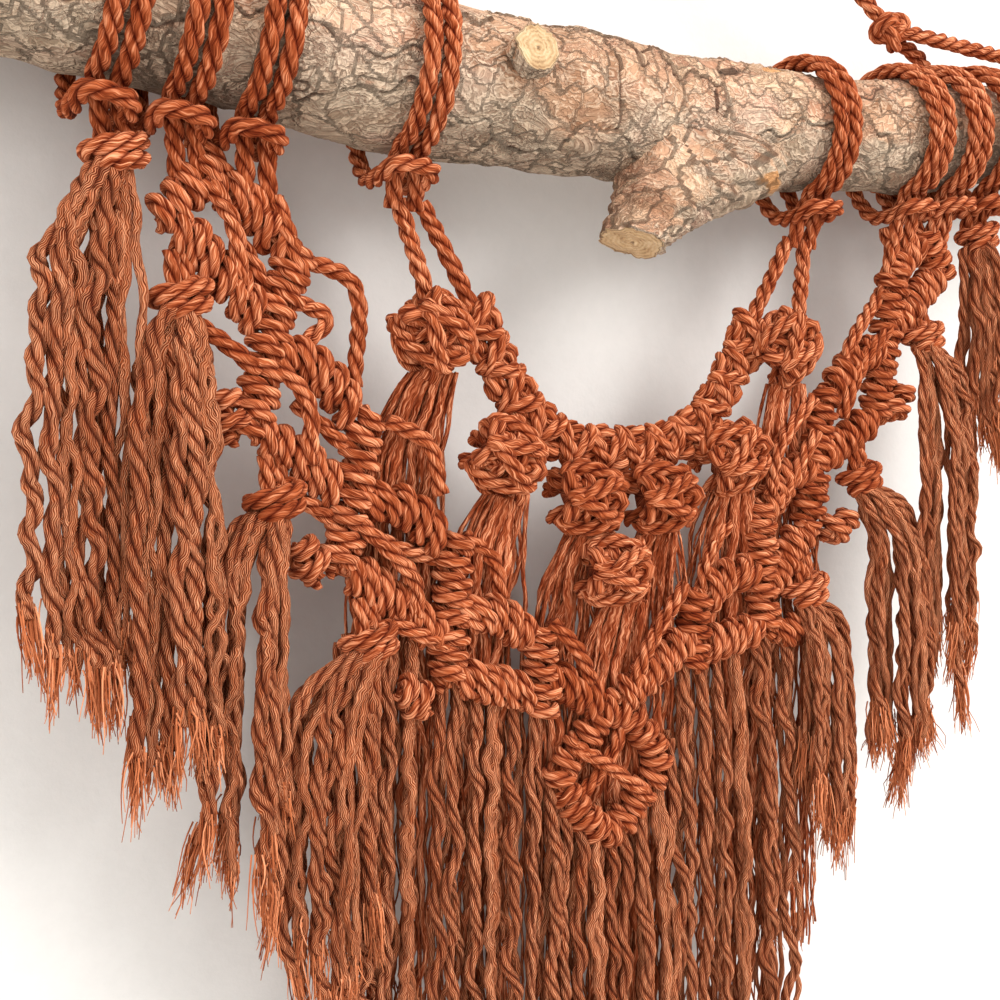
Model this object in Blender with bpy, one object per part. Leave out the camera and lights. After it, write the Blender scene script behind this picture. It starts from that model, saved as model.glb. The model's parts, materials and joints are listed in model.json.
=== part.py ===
"""Macrame wall hanging: knotted cotton cord tied along a pine branch and hung from one nail.

The nail carries the cord at the origin. +X runs along the branch, the room is on the -Y side
and the wall on the +Y side. Each knotted stretch is a plain rounded solid of its real size
and place. The knotwork is drawn for a 5 mm cord and grows with the cord's diameter.
"""

from math import cos, exp, pi, radians, sin, sqrt

import bmesh
import bpy
from mathutils import Vector
from mathutils.geometry import intersect_point_line

# Driving dimensions, in metres
CORD_D = 0.005  # three-ply cotton cord
GAP = 0.0003  # clearance between pieces that touch
AXIS_DROP = 0.1115  # from the nail down to the branch's axis
BRANCH_LENGTH = 0.420
BRANCH_R_LEFT = 0.0205
BRANCH_R_RIGHT = 0.0160
BERRY_D = 0.023  # popcorn knot of the garland
TASSEL_R = 0.0085  # widest half width of a tassel's skirt
FRINGE_DROP = 0.300  # from the panel's pivot down to the longest fringe tips

# Branch form
BRANCH_RISE = 0.51  # the axis rises by this times x squared
BRANCH_SIDES_RESOLUTION = 8
BRANCH_STATIONS = 22
WHORL_X = -0.050  # where the side shoots grew and the branch is thicker
WHORL_SWELL = 0.0015
WHORL_SPREAD = 0.030
SHOOT_X = -0.040  # small sawn shoot on the room side
SHOOT_R = 0.007
SHOOT_STAND = 0.003  # how far it stands out of the bark
SHOOT_TURN = radians(113)
STUB_ROOT_X = 0.024  # cut side branch that points down, left and to the room
STUB_R = 0.0095
STUB_ROOT_R = 0.0125
STUB_REACH = Vector((-0.026, -0.016, -0.038))

# Cord sizes that follow the diameter
DRAWN_CORD_D = 0.005
GROWTH = CORD_D / DRAWN_CORD_D
CORD_R = CORD_D / 2
BAND_R = 1.15 * CORD_D  # half hitches over their leader cords
BRAID_R = 0.9 * CORD_D  # square-knot braid of the garland
DIAMOND_R = 0.92 * CORD_D
TASSEL_KNOT_R = 1.15 * CORD_D
HANGER_KNOT_R = 1.4 * CORD_D
CURTAIN_THICKNESS = 0.5 * CORD_D
FRINGE_THICKNESS = 1.2 * CORD_D
BERRY_R = BERRY_D / 2

# Lark's-head hitches along the branch
WING_HITCH_X = (0.105, 0.122, 0.139)
WRAP_STEP = radians(28)
BAR_TURN = radians(22)
LOOP_SPREAD = 1.16 * CORD_D  # how far the bar's ends stand from the hitch's middle
WRAP_SPREAD = (CORD_D + GAP) / 2
STRAND_SPREAD = 0.66 * CORD_D  # the garland's cords leave their hitch a little apart

# Wing columns as drawn: (x, height from the pivot), top to bottom, outermost first
LEFT_COLUMNS = (
    ((-0.121, 0.000), (-0.129, -0.010)),
    ((-0.0975, -0.019), (-0.103, -0.035), (-0.1085, -0.060)),
    ((-0.0785, -0.060), (-0.081, -0.073), (-0.0855, -0.095)),
    ((-0.053, -0.093), (-0.054, -0.110), (-0.055, -0.127)),
    ((-0.027, -0.119), (-0.0245, -0.137)),
)
RIGHT_COLUMNS = (
    ((0.121, 0.002), (0.128, -0.006)),
    ((0.1065, -0.010), (0.103, -0.032), (0.0995, -0.054)),
    ((0.0765, -0.051), (0.0715, -0.088)),
    ((0.0515, -0.086), (0.054, -0.120)),
    ((0.027, -0.112), (0.027, -0.128)),
)
ROW_END = (0.45, 0.55, 0.75, 0.9)  # where each lower row meets the next column, from its top
DIAMOND = (
    (-0.003, -0.141),
    (0.007, -0.147),
    (0.014, -0.158),
    (0.007, -0.168),
    (-0.003, -0.177),
    (-0.013, -0.169),
    (-0.020, -0.159),
    (-0.012, -0.149),
)
DIAMOND_LOWER = slice(2, 7)  # the points from the right corner round to the left one

# Tassels as drawn: (x at the top, x of the tip, height of the tip), outermost first
LEFT_TASSELS = (
    (-0.142, -0.160, -0.126),
    (-0.127, -0.135, -0.146),
    (-0.104, -0.120, -0.181),
    (-0.079, -0.103, -0.205),
)
RIGHT_TASSELS = (
    (0.142, 0.146, -0.076),
    (0.117, 0.127, -0.143),
    (0.090, 0.109, -0.168),
    (0.068, 0.080, -0.186),
)
TASSEL_Y = -0.002
TASSEL_LEAN = 0.002  # the tip hangs this much further into the room
TASSEL_FLATNESS = 0.6

# Garland: a U that is lowest at GARLAND_LOW from the pivot and rises with the cube of |x|
BERRY_FLOOR = -0.0865  # the level that the middle berries reach down to
GARLAND_LOW = BERRY_FLOOR + BERRY_D
GARLAND_RISE = 0.0451
BRAID_HALF = 0.050
BERRY_FIRST = 0.93 * BERRY_R  # x where the middle berries touch the braid
BERRY_LAST = BRAID_HALF - 0.35 * BERRY_R
BERRY_SPOTS = (BERRY_FIRST, (BERRY_FIRST + BERRY_LAST) / 2, BERRY_LAST)
BERRY_Y = BAND_R - BERRY_R  # the berries' backs lie in the plane of the bands' backs
GARLAND_OVERHANG = 0.25 * BERRY_D  # the garland's hitches lie this far outside its last berries
CURTAIN_OVERHANG = 0.4 * BERRY_D

# Fringe slabs as drawn
FRINGE_OUTER_X = {"left": -0.070, "right": 0.059}
FRINGE_SIDE_TIP = -0.250
CURTAIN_SIDE_TIP = -0.225
CURTAIN_MIDDLE_TIP = -0.275

# Hanging cord: (x of the noose in front, x behind, x of the knot)
NOOSE_LEFT = (-0.176, -0.150, -0.132)
NOOSE_RIGHT = (0.155, 0.129, 0.108)
KNOT_STAND = 3.3 * CORD_D  # how far a knot's middle stands off the bark
NAIL_BEND = 0.004  # half width of the bend over the nail

RUST = (0.51, 0.15, 0.06, 1.0)
BARK = (0.42, 0.29, 0.21, 1.0)

TUBE_RESOLUTION = 2
CAP_PROFILE = ((0.95, 0.31), (0.80, 0.60), (0.50, 0.87))  # (share of R beyond the core, share of R)
SEARCH_STEP = 0.0001


def clear_scene():
    """Remove every object of the open file."""
    for old in list(bpy.data.objects):
        bpy.data.objects.remove(old, do_unlink=True)


def make_collection(name):
    """A new collection linked to the scene."""
    collection = bpy.data.collections.new(name)
    bpy.context.scene.collection.children.link(collection)
    return collection


def make_material(name, colour, roughness):
    """A plain Principled material."""
    material = bpy.data.materials.new(name)
    material.use_nodes = True
    shader = material.node_tree.nodes["Principled BSDF"]
    shader.inputs["Base Color"].default_value = colour
    shader.inputs["Roughness"].default_value = roughness
    shader.inputs["Metallic"].default_value = 0.0
    return material


clear_scene()
PARTS = make_collection("macrame_wall_hanging")
CUTTERS = make_collection("cutters")
COTTON = make_material("cotton_cord", RUST, 0.9)
PINE = make_material("pine_bark", BARK, 0.8)


# ---- paths -------------------------------------------------------------------------------


def mix(a, b, share):
    """The value `share` of the way from a to b."""
    return a + (b - a) * share


def smooth(points, spacing):
    """Points about `spacing` apart on a Catmull-Rom curve through the given ones."""
    ends = [2 * points[0] - points[1], *points, 2 * points[-1] - points[-2]]
    curve = [points[0].copy()]
    for before, start, end, after in zip(ends, ends[1:], ends[2:], ends[3:]):
        pieces = max(1, round((end - start).length / spacing))
        for piece in range(1, pieces + 1):
            t = piece / pieces
            pull = (end - before) * t + (2 * before - 5 * start + 4 * end - after) * t**2
            curve.append(start + (pull + (3 * start - before - 3 * end + after) * t**3) / 2)
    return curve


def point_along(path, share):
    """The point at `share` of the path's length from its start."""
    steps = [(b - a).length for a, b in zip(path, path[1:])]
    left = share * sum(steps)
    for start, end, step in zip(path, path[1:], steps):
        if left <= step:
            return start.lerp(end, left / step)
        left -= step
    return path[-1].copy()


def distance_to(path, point):
    """The distance from a point to a path of straight pieces."""
    nearest = (path[0] - point).length
    for start, end in zip(path, path[1:]):
        foot, share = intersect_point_line(point, start, end)
        if share <= 0:
            foot = start
        elif share >= 1:
            foot = end
        nearest = min(nearest, (foot - point).length)
    return nearest


def leave(path, start, direction, clearance):
    """The first point from start, along direction, that is `clearance` away from the path."""
    step = direction.normalized() * SEARCH_STEP
    point = start.copy()
    while distance_to(path, point) < clearance:
        point += step
    return point


def drawn(points, y=0.0):
    """Points of the drawn pattern in the world, grown with the cord and hung from the pivot."""
    return [Vector((x * GROWTH, y, PANEL_PIVOT_Z + z * GROWTH)) for x, z in points]


# ---- pieces ------------------------------------------------------------------------------


def finish(piece, name, material, collection=None):
    """Name a piece, give it its material and put it in its collection only."""
    piece.name = name
    piece.data.name = name
    piece.data.materials.clear()
    piece.data.materials.append(material)
    for old in list(piece.users_collection):
        old.objects.unlink(piece)
    (collection or PARTS).objects.link(piece)
    return piece


def tube(name, points, radii, material=COTTON, cyclic=False, resolution=TUBE_RESOLUTION):
    """A round tube along straight pieces, with a radius at each point and filled ends."""
    curve = bpy.data.curves.new(name, "CURVE")
    curve.dimensions = "3D"
    curve.bevel_depth = 1.0
    curve.bevel_resolution = resolution
    curve.use_fill_caps = not cyclic
    spline = curve.splines.new("POLY")
    spline.points.add(len(points) - 1)
    spline.use_cyclic_u = cyclic
    for spot, place, radius in zip(spline.points, points, radii):
        spot.co = (*place, 1.0)
        spot.radius = radius
    return finish(bpy.data.objects.new(name, curve), name, material)


def capped(core, radii):
    """The core's points and radii with a rounded cap added at each end."""
    start_out = (core[0] - core[1]).normalized()
    end_out = (core[-1] - core[-2]).normalized()
    first, last = radii[0], radii[-1]
    head = [(core[0] + start_out * reach * first, width * first) for reach, width in CAP_PROFILE]
    tail = [(core[-1] + end_out * reach * last, width * last) for reach, width in reversed(CAP_PROFILE)]
    rows = head + list(zip(core, radii)) + tail
    return [place for place, _ in rows], [radius for _, radius in rows]


def rounded_tube(name, core, radius):
    """A tube of one radius along a smooth core line, with rounded ends."""
    line = smooth(core, 1.2 * radius)
    return tube(name, *capped(line, [radius] * len(line)))


def ball(name, centre, radius, scale=(1.0, 1.0, 1.0)):
    """A knot as a round or flattened ball."""
    bpy.ops.mesh.primitive_uv_sphere_add(segments=12, ring_count=8, radius=radius, location=centre)
    knot = bpy.context.active_object
    knot.scale = scale
    knot.data.shade_smooth()
    return finish(knot, name, COTTON)


def slab(name, outline, middle_y, thickness):
    """A flat hanging of yarn: an outline in the wall's plane with a thickness."""
    curve = bpy.data.curves.new(name, "CURVE")
    curve.dimensions = "2D"
    curve.fill_mode = "BOTH"
    curve.extrude = thickness / 2
    spline = curve.splines.new("POLY")
    spline.points.add(len(outline) - 1)
    spline.use_cyclic_u = True
    for spot, (x, z) in zip(spline.points, outline):
        spot.co = (x, z, 0.0, 1.0)
    piece = finish(bpy.data.objects.new(name, curve), name, COTTON)
    piece.rotation_euler = (pi / 2, 0.0, 0.0)
    piece.location = (0.0, middle_y, 0.0)
    return piece


def join_to(body, tool):
    """Join a tool solid to a body with an exact Boolean union."""
    union = body.modifiers.new("join_" + tool.name, "BOOLEAN")
    union.operation = "UNION"
    union.solver = "EXACT"
    union.object = tool
    tool.hide_render = True
    tool.display_type = "WIRE"


def as_mesh(piece):
    """The curve object made into a mesh object with its caps welded on."""
    graph = bpy.context.evaluated_depsgraph_get()
    mesh = bpy.data.meshes.new_from_object(piece.evaluated_get(graph))
    shape = bmesh.new()
    shape.from_mesh(mesh)
    bmesh.ops.remove_doubles(shape, verts=shape.verts, dist=0.00001)
    shape.to_mesh(mesh)
    shape.free()
    solid = bpy.data.objects.new(piece.name, mesh)
    solid.matrix_world = piece.matrix_world.copy()
    name = piece.name
    bpy.data.objects.remove(piece, do_unlink=True)
    return finish(solid, name, PINE)


# ---- branch ------------------------------------------------------------------------------


def branch_z(x):
    """Height of the branch's axis."""
    return BRANCH_RISE * x * x - AXIS_DROP


def branch_r(x):
    """Radius of the branch: an even taper with a swelling at the whorl."""
    swell = WHORL_SWELL * exp(-(((x - WHORL_X) / WHORL_SPREAD) ** 2))
    return mix(BRANCH_R_LEFT, BRANCH_R_RIGHT, x / BRANCH_LENGTH + 0.5) + swell


def around(x, turn, distance):
    """A point beside the branch: turn 0 is straight below, then the room side, then the top."""
    down = Vector((2 * BRANCH_RISE * x, 0.0, -1.0)).normalized()
    out = down * cos(turn) + Vector((0.0, -1.0, 0.0)) * sin(turn)
    return Vector((x, 0.0, branch_z(x))) + out * distance


def peg(name, start, direction, length, root_r, tip_r):
    """A round wooden peg for a cut shoot, kept with the cutters."""
    bpy.ops.mesh.primitive_cone_add(vertices=20, radius1=root_r, radius2=tip_r, depth=length)
    shoot = bpy.context.active_object
    shoot.rotation_mode = "QUATERNION"
    shoot.rotation_quaternion = direction.to_track_quat("Z", "Y")
    shoot.location = start + direction.normalized() * length / 2
    return finish(shoot, name, PINE, CUTTERS)


def make_branch():
    """The branch with its sawn ends, the small sawn shoot and the cut side branch."""
    stations = [BRANCH_LENGTH * (i / (BRANCH_STATIONS - 1) - 0.5) for i in range(BRANCH_STATIONS)]
    axis = [Vector((x, 0.0, branch_z(x))) for x in stations]
    radii = [branch_r(x) for x in stations]
    body = as_mesh(tube("branch", axis, radii, PINE, resolution=BRANCH_SIDES_RESOLUTION))
    shoot_root = around(SHOOT_X, SHOOT_TURN, 0.0)
    shoot_tip = around(SHOOT_X, SHOOT_TURN, branch_r(SHOOT_X) + SHOOT_STAND)
    out = shoot_tip - shoot_root
    join_to(body, peg("shoot", shoot_root, out, out.length, SHOOT_R, SHOOT_R))
    stub_root = around(STUB_ROOT_X, 0.0, 0.0)
    join_to(body, peg("stub", stub_root, STUB_REACH, STUB_REACH.length, STUB_ROOT_R, STUB_R))


# ---- hitches and hanging cord ------------------------------------------------------------


def wrap_reach(x):
    """Distance of a first-layer wrap's centre line from the branch's axis, at its corners."""
    return (branch_r(x) + GAP + CORD_R) / cos(WRAP_STEP / 2)


def hitch_path(x):
    """A lark's head: up the front, over, down the back, the bar, and the same way back."""
    inner = wrap_reach(x)
    outer = inner + CORD_D + GAP
    side = []
    turn = radians(16)
    while turn < radians(318):
        share = max(0.0, (turn - pi) / radians(138))
        side.append((turn, inner, mix(WRAP_SPREAD, LOOP_SPREAD, min(1.0, share))))
        turn += WRAP_STEP
    side.append((radians(330), mix(inner, outer, 0.4), LOOP_SPREAD))
    side.append((radians(348), outer, LOOP_SPREAD))
    side.append((radians(367), outer, LOOP_SPREAD))
    side.append((2 * pi + BAR_TURN, outer, 0.75 * LOOP_SPREAD))
    left = [around(x - offset, turn, reach) for turn, reach, offset in side]
    right = [around(x + offset, turn, reach) for turn, reach, offset in side]
    return left + right[::-1]


def below_hitch(path, x, y, radius):
    """Where a rounded piece of this radius hangs just clear under a hitch."""
    hitch_bottom = min(point.z for point in path)
    return leave(path, Vector((x, y, hitch_bottom)), Vector((0.0, 0.0, -1.0)), radius + CORD_R + GAP)


def make_hitches():
    """All lark's heads; returns each one's path by side and number."""
    paths = {}
    for side, sign in (("left", -1), ("right", 1)):
        spots = [GARLAND_HITCH_X] + [place * GROWTH for place in WING_HITCH_X]
        for number, spot in enumerate(spots):
            path = hitch_path(sign * spot)
            name = f"wing_hitch_{side}_{number}" if number else f"garland_hitch_{side}"
            tube(name, path, [CORD_R] * len(path))
            paths[side, number] = path
    return paths


def noose_path(front_x, back_x, knot):
    """From the knot over the branch, down the front, under, up the back and to the knot."""
    turns = [radians(170) - i * WRAP_STEP for i in range(13)]
    ring = []
    for i, turn in enumerate(turns):
        share = min(1.0, max(0.0, (i - 8) / 3))
        x = mix(front_x, back_x, share)
        ring.append(around(x, turn, (wrap_reach(x) + CORD_D + GAP) / cos(WRAP_STEP / 2)))
    toward = Vector((1.0 if front_x > 0 else -1.0, 0.0, 0.0))
    clearance = HANGER_KNOT_R + CORD_R + GAP
    front = leave([knot, knot], knot, toward + Vector((0.0, -0.55, 0.0)), clearance)
    back = leave([knot, knot], knot, toward + Vector((0.0, 0.55, 0.0)), clearance)
    return [front, *ring, back]


def make_hanger():
    """The hanging cord, its two knots and the nooses round the branch's ends."""
    knots = []
    for side, noose in (("left", NOOSE_LEFT), ("right", NOOSE_RIGHT)):
        front_x, back_x, knot_x = (x * GROWTH for x in noose)
        knot = around(knot_x, pi, branch_r(knot_x) + KNOT_STAND)
        ball("hanger_knot_" + side, knot, HANGER_KNOT_R)
        path = noose_path(front_x, back_x, knot)
        tube("hanger_noose_" + side, *capped(path, [CORD_R] * len(path)))
        knots.append(knot)
    apex = Vector((0.0, 0.0, CORD_R))
    clearance = HANGER_KNOT_R + CORD_R + GAP
    ends = [leave([knot, knot], knot, apex - knot, clearance) for knot in knots]
    shoulders = [apex + (end - apex).normalized() * NAIL_BEND for end in ends]
    runs = [end.lerp(shoulder, 0.5) for end, shoulder in zip(ends, shoulders)]
    route = [ends[0], runs[0], shoulders[0], apex, shoulders[1], runs[1], ends[1]]
    line = smooth(route, 2.5 * CORD_D)
    tube("hanger_cord", *capped(line, [CORD_R] * len(line)))


# ---- wings -------------------------------------------------------------------------------


def make_wing(side, columns, hitches):
    """One wing: slanting columns of half hitches, each led into by a row, and the lower rows."""
    paths = [drawn(points) for points in columns]
    paths[0][0] = below_hitch(hitches[side, 2], paths[0][0].x, 0.0, BAND_R)
    clearance = 2 * BAND_R + GAP
    for number, path in enumerate(paths, 1):
        if number > 1:
            before = paths[number - 2]
            start = point_along(before, 0.5 if number > 2 else 0.0)
            path = [leave(before, start, path[0] - start, clearance), *path]
        rounded_tube(f"wing_column_{side}_{number}", path, BAND_R)
    rows = []
    for number, share in enumerate(ROW_END, 1):
        outer, inner = paths[number - 1], paths[number]
        target = point_along(inner, share)
        start = leave(outer, outer[-1], target - outer[-1], clearance)
        end = leave(inner, target, outer[-1] - target, clearance)
        rounded_tube(f"wing_row_{side}_{number}", [start, end], BAND_R)
        rows.append([start, end])
    return paths, rows


def make_centre(left_column, right_column):
    """The diamond between the wings and the two rows that carry it."""
    ring = drawn(DIAMOND)
    tube("centre_diamond", ring, [DIAMOND_R] * len(ring), cyclic=True)
    loop = [*ring, ring[0]]
    for side, column in (("left", left_column), ("right", right_column)):
        start_at = point_along(column, 0.5)
        start = leave(column, start_at, ring[0] - start_at, 2 * BAND_R + GAP)
        end = leave(loop, ring[0], start_at - ring[0], BAND_R + DIAMOND_R + GAP)
        rounded_tube("centre_row_" + side, [start, end], BAND_R)
    return ring


# ---- tassels -----------------------------------------------------------------------------


def make_tassel(name, top, tip):
    """A gathered bundle of cord ends: a tight knot, a neck and a skirt, flattened to the wall."""
    stations = ((0.0, TASSEL_KNOT_R), (0.08, 0.8 * TASSEL_KNOT_R), (0.25, 0.85 * TASSEL_R))
    stations += ((0.6, TASSEL_R), (0.9, 0.8 * TASSEL_R))
    core = [(tip - top) * share for share, _ in stations]
    tassel = tube(name, *capped(core, [radius for _, radius in stations]))
    tassel.location = top
    tassel.scale = (1.0, TASSEL_FLATNESS, 1.0)


def make_tassels(side, spots, outer_hitch, rows):
    """Four tassels: one under the outermost hitch and three under the wing's lower rows."""
    carriers = [outer_hitch, *rows]
    for number, ((x, tip_x, tip_z), carrier) in enumerate(zip(spots, carriers), 1):
        if number == 1:
            top = below_hitch(carrier, x * GROWTH, TASSEL_Y, TASSEL_KNOT_R)
        else:
            start = Vector((x * GROWTH, TASSEL_Y, min(point.z for point in carrier)))
            top = leave(carrier, start, Vector((0.0, 0.0, -1.0)), BAND_R + TASSEL_KNOT_R + GAP)
        tip = drawn([(tip_x, tip_z)], TASSEL_Y - TASSEL_LEAN)[0]
        make_tassel(f"tassel_{side}_{number}", top, tip)


# ---- garland -----------------------------------------------------------------------------


def braid_point(x):
    """A point of the garland's braid."""
    return Vector((x, 0.0, GARLAND_PIVOT_Z + GARLAND_LOW + GARLAND_RISE * abs(x / BRAID_HALF) ** 3))


def berry_offset(x):
    """From the braid's point at x to the middle of the berry knot that touches its lower side."""
    slope = 3 * GARLAND_RISE * x * abs(x) / BRAID_HALF**3
    normal = Vector((slope, 0.0, -1.0)).normalized()
    reach = sqrt((BERRY_R + BRAID_R + GAP) ** 2 - BERRY_Y**2)
    return normal * reach + Vector((0.0, BERRY_Y, 0.0))


def make_garland(hitches):
    """The braid, its berry knots and the strands that it hangs from; returns the berries."""
    braid = [braid_point(BRAID_HALF * (i / 16 - 1)) for i in range(33)]
    tube("garland_braid", *capped(braid, [BRAID_R] * len(braid)))
    berries = {}
    for side, sign in (("left", -1), ("right", 1)):
        for number, spot in enumerate(BERRY_SPOTS, 1):
            berries[side, number] = braid_point(sign * spot) + berry_offset(sign * spot)
            ball(f"berry_knot_{side}_{number}", berries[side, number], BERRY_R)
        make_strands(side, sign, hitches[side, 0], berries[side, 3], braid)
    inner = berries["right", 1]
    drop = sqrt((BERRY_D + GAP) ** 2 - inner.x**2)
    centre = Vector((0.0, BERRY_Y, inner.z - drop))
    ball("berry_knot_centre", centre, BERRY_R)
    return berries


def make_strands(side, sign, hitch, berry, braid):
    """The two cords from a hitch: one to the outermost berry and one to the braid's end."""
    x = sign * GARLAND_HITCH_X
    braid_end = braid[0] if sign < 0 else braid[-1]
    for name, offset, goal, width in (
        ("outer", STRAND_SPREAD, berry, BERRY_R),
        ("inner", -STRAND_SPREAD, braid_end, BRAID_R),
    ):
        top = below_hitch(hitch, x + sign * offset, 0.0, CORD_R)
        end = leave([goal, goal], goal, top - goal, width + CORD_R + GAP)
        rounded_tube(f"garland_strand_{side}_{name}", [top, top.lerp(end, 0.5), end], CORD_R)


# ---- fringe ------------------------------------------------------------------------------


def ragged(x_from, x_to, z_from, z_to, teeth):
    """A lower edge of loose tips that dips by a cord's width or two at each tooth."""
    edge = []
    for i in range(2 * teeth + 1):
        share = i / (2 * teeth)
        dip = 1.6 * CORD_D * (i % 2)
        edge.append((mix(x_from, x_to, share), mix(z_from, z_to, share) - dip))
    return edge


def make_front_fringe(wings, rows, ring):
    """The fringe that hangs in front, under the last rows and the diamond."""
    middle_y = -FRINGE_THICKNESS / 2 - GAP
    tip = PANEL_PIVOT_Z - FRINGE_DROP
    side_tip = PANEL_PIVOT_Z + FRINGE_SIDE_TIP * GROWTH
    inner_tip = mix(side_tip, tip, 0.5)
    for side, sign in (("left", -1), ("right", 1)):
        outer = FRINGE_OUTER_X[side] * GROWTH
        inner = wings[side][-1][-1].x + sign * (BAND_R + GAP)
        top = min(point.z for point in rows[side][-1]) - BAND_R - GAP
        edge = ragged(outer, inner, side_tip, inner_tip, 5)
        slab("front_fringe_" + side, [(inner, top), (outer, top), *edge], middle_y, FRINGE_THICKNESS)
    middle = sum(ring, Vector()) / len(ring)
    under = []
    for point in ring[DIAMOND_LOWER]:
        out = (point - middle).normalized()
        spot = point + out * (DIAMOND_R + GAP) * 1.06
        under.append((spot.x, spot.z))
    edge = ragged(under[-1][0], under[0][0], mix(side_tip, tip, 0.9), mix(side_tip, tip, 0.9), 5)
    slab("front_fringe_centre", [*under, *edge], middle_y, FRINGE_THICKNESS)


def make_back_fringe(berries):
    """The curtain of fine yarn that falls from the berries, behind the wings."""
    half = berries["right", 3].x + CURTAIN_OVERHANG
    top = [(berries["right", n].x, berries["right", n].z) for n in (1, 2, 3)]
    top = [(-x, z) for x, z in reversed(top)] + top
    top = [(-half, top[0][1]), *top, (half, top[-1][1])]
    side_tip = PANEL_PIVOT_Z + CURTAIN_SIDE_TIP * GROWTH
    middle_tip = PANEL_PIVOT_Z + CURTAIN_MIDDLE_TIP * GROWTH
    edge = ragged(-half, 0.0, side_tip, middle_tip, 5) + ragged(0.0, half, middle_tip, side_tip, 5)[1:]
    middle_y = BAND_R + GAP + CURTAIN_THICKNESS / 2
    slab("back_fringe", top[::-1] + edge, middle_y, CURTAIN_THICKNESS)


# ---- assembly ----------------------------------------------------------------------------

GARLAND_HITCH_X = BERRY_SPOTS[-1] + berry_offset(BERRY_SPOTS[-1]).x + GARLAND_OVERHANG

make_branch()
HITCHES = make_hitches()
make_hanger()

PANEL_PIVOT_Z = below_hitch(HITCHES["left", 2], LEFT_COLUMNS[0][0][0] * GROWTH, 0.0, BAND_R).z
GARLAND_PIVOT_Z = below_hitch(HITCHES["left", 0], STRAND_SPREAD - GARLAND_HITCH_X, 0.0, CORD_R).z

WINGS = {}
ROWS = {}
WINGS["left"], ROWS["left"] = make_wing("left", LEFT_COLUMNS, HITCHES)
WINGS["right"], ROWS["right"] = make_wing("right", RIGHT_COLUMNS, HITCHES)
RING = make_centre(WINGS["left"][-1], WINGS["right"][-1])
make_tassels("left", LEFT_TASSELS, HITCHES["left", 3], ROWS["left"])
make_tassels("right", RIGHT_TASSELS, HITCHES["right", 3], ROWS["right"])
BERRIES = make_garland(HITCHES)
make_front_fringe(WINGS, ROWS, RING)
make_back_fringe(BERRIES)
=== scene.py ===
# %% [markdown]
# # A macrame wall hanging on a pine branch
# The real piece is a few dozen lengths of rust-coloured cotton cord, knotted along a short
# branch and left to hang in a deep fringe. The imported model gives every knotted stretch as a
# plain rounded solid. Here each stretch is made again as the cord that it really is, in the
# same place, and every new piece rides on the body that its solid belongs to.

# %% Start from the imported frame
import json
import math

import bpy
import numpy as np
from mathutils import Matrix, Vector


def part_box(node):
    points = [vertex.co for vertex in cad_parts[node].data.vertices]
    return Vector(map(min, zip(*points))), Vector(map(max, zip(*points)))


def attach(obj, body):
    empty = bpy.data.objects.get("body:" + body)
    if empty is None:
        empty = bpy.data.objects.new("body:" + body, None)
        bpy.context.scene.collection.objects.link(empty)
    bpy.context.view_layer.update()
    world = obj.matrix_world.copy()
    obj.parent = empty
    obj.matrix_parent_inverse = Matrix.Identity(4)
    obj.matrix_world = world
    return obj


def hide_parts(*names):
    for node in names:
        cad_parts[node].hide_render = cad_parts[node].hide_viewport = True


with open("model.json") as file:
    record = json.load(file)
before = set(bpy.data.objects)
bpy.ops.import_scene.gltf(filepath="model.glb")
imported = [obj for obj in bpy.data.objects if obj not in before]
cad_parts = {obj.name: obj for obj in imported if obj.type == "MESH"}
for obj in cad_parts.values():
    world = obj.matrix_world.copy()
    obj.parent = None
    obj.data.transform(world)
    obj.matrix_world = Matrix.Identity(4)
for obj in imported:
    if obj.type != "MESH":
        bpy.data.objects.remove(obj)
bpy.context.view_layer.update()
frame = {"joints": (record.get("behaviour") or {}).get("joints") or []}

# %% [markdown]
# ## The view
# The camera stands to the left of the hanging at a forearm's distance and looks at it on the
# slant, level with the middle of the knots, through a nearly normal lens.

# %% Camera
CAMERA_PLACE = (-0.2089, -0.3117, -0.208)
CAMERA_TURN = (math.radians(87.93), 0.0, math.radians(-28.63))
LENS = 46.8
SENSOR = 36.0
NEAREST, FARTHEST = 0.01, 20.0
camera_data = bpy.data.cameras.new("camera")
camera = bpy.data.objects.new("camera", camera_data)
bpy.context.scene.collection.objects.link(camera)
camera.location = CAMERA_PLACE
camera.rotation_euler = CAMERA_TURN
camera_data.lens = LENS
camera_data.sensor_width = SENSOR
camera_data.clip_start = NEAREST
camera_data.clip_end = FARTHEST
bpy.context.scene.camera = camera
bpy.context.scene.view_settings.view_transform = "Standard"
print("camera", LENS, "mm")

# %% [markdown]
# ## Sizes of the cord and places of the joints
# Everything follows from one 5 mm three-ply cord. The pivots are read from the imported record,
# so the swinging pieces and the solids that they stand for turn about the same lines.

# %% Shared sizes
CORD_R = 0.0025
GAP = 0.0003
LAY = 0.0158  # one full turn of the three plies
CORD_STEP = 0.0011  # from one ring of a knotted cord to the next
LEADER_R = 0.0021  # leaders and fillers, which are squeezed by the cord round them
GARLAND_X = 0.0657  # the garland's hitches
PATTERN_Z = -0.208  # the height that loose cords and side knots are drawn from
SIGN = {"left": -1, "right": 1}
JOINTS = {joint["name"]: joint for joint in frame["joints"]}
PANEL_Z = JOINTS["panel_swing"]["pos_m"][2]
GARLAND_Z = JOINTS["garland_swing"]["pos_m"][2]
UP = np.array((0.0, 0.0, 1.0))
ROOM = np.array((0.0, -1.0, 0.0))
RIGHT = np.array((1.0, 0.0, 0.0))
print("panel pivot", round(PANEL_Z, 4), "garland pivot", round(GARLAND_Z, 4))

# %% [markdown]
# ## Smooth lines
# A cord follows a smooth line through a few points. The Catmull-Rom curve passes through all of
# them and bends as little as it can, which is close to what a limp cord does.

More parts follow.
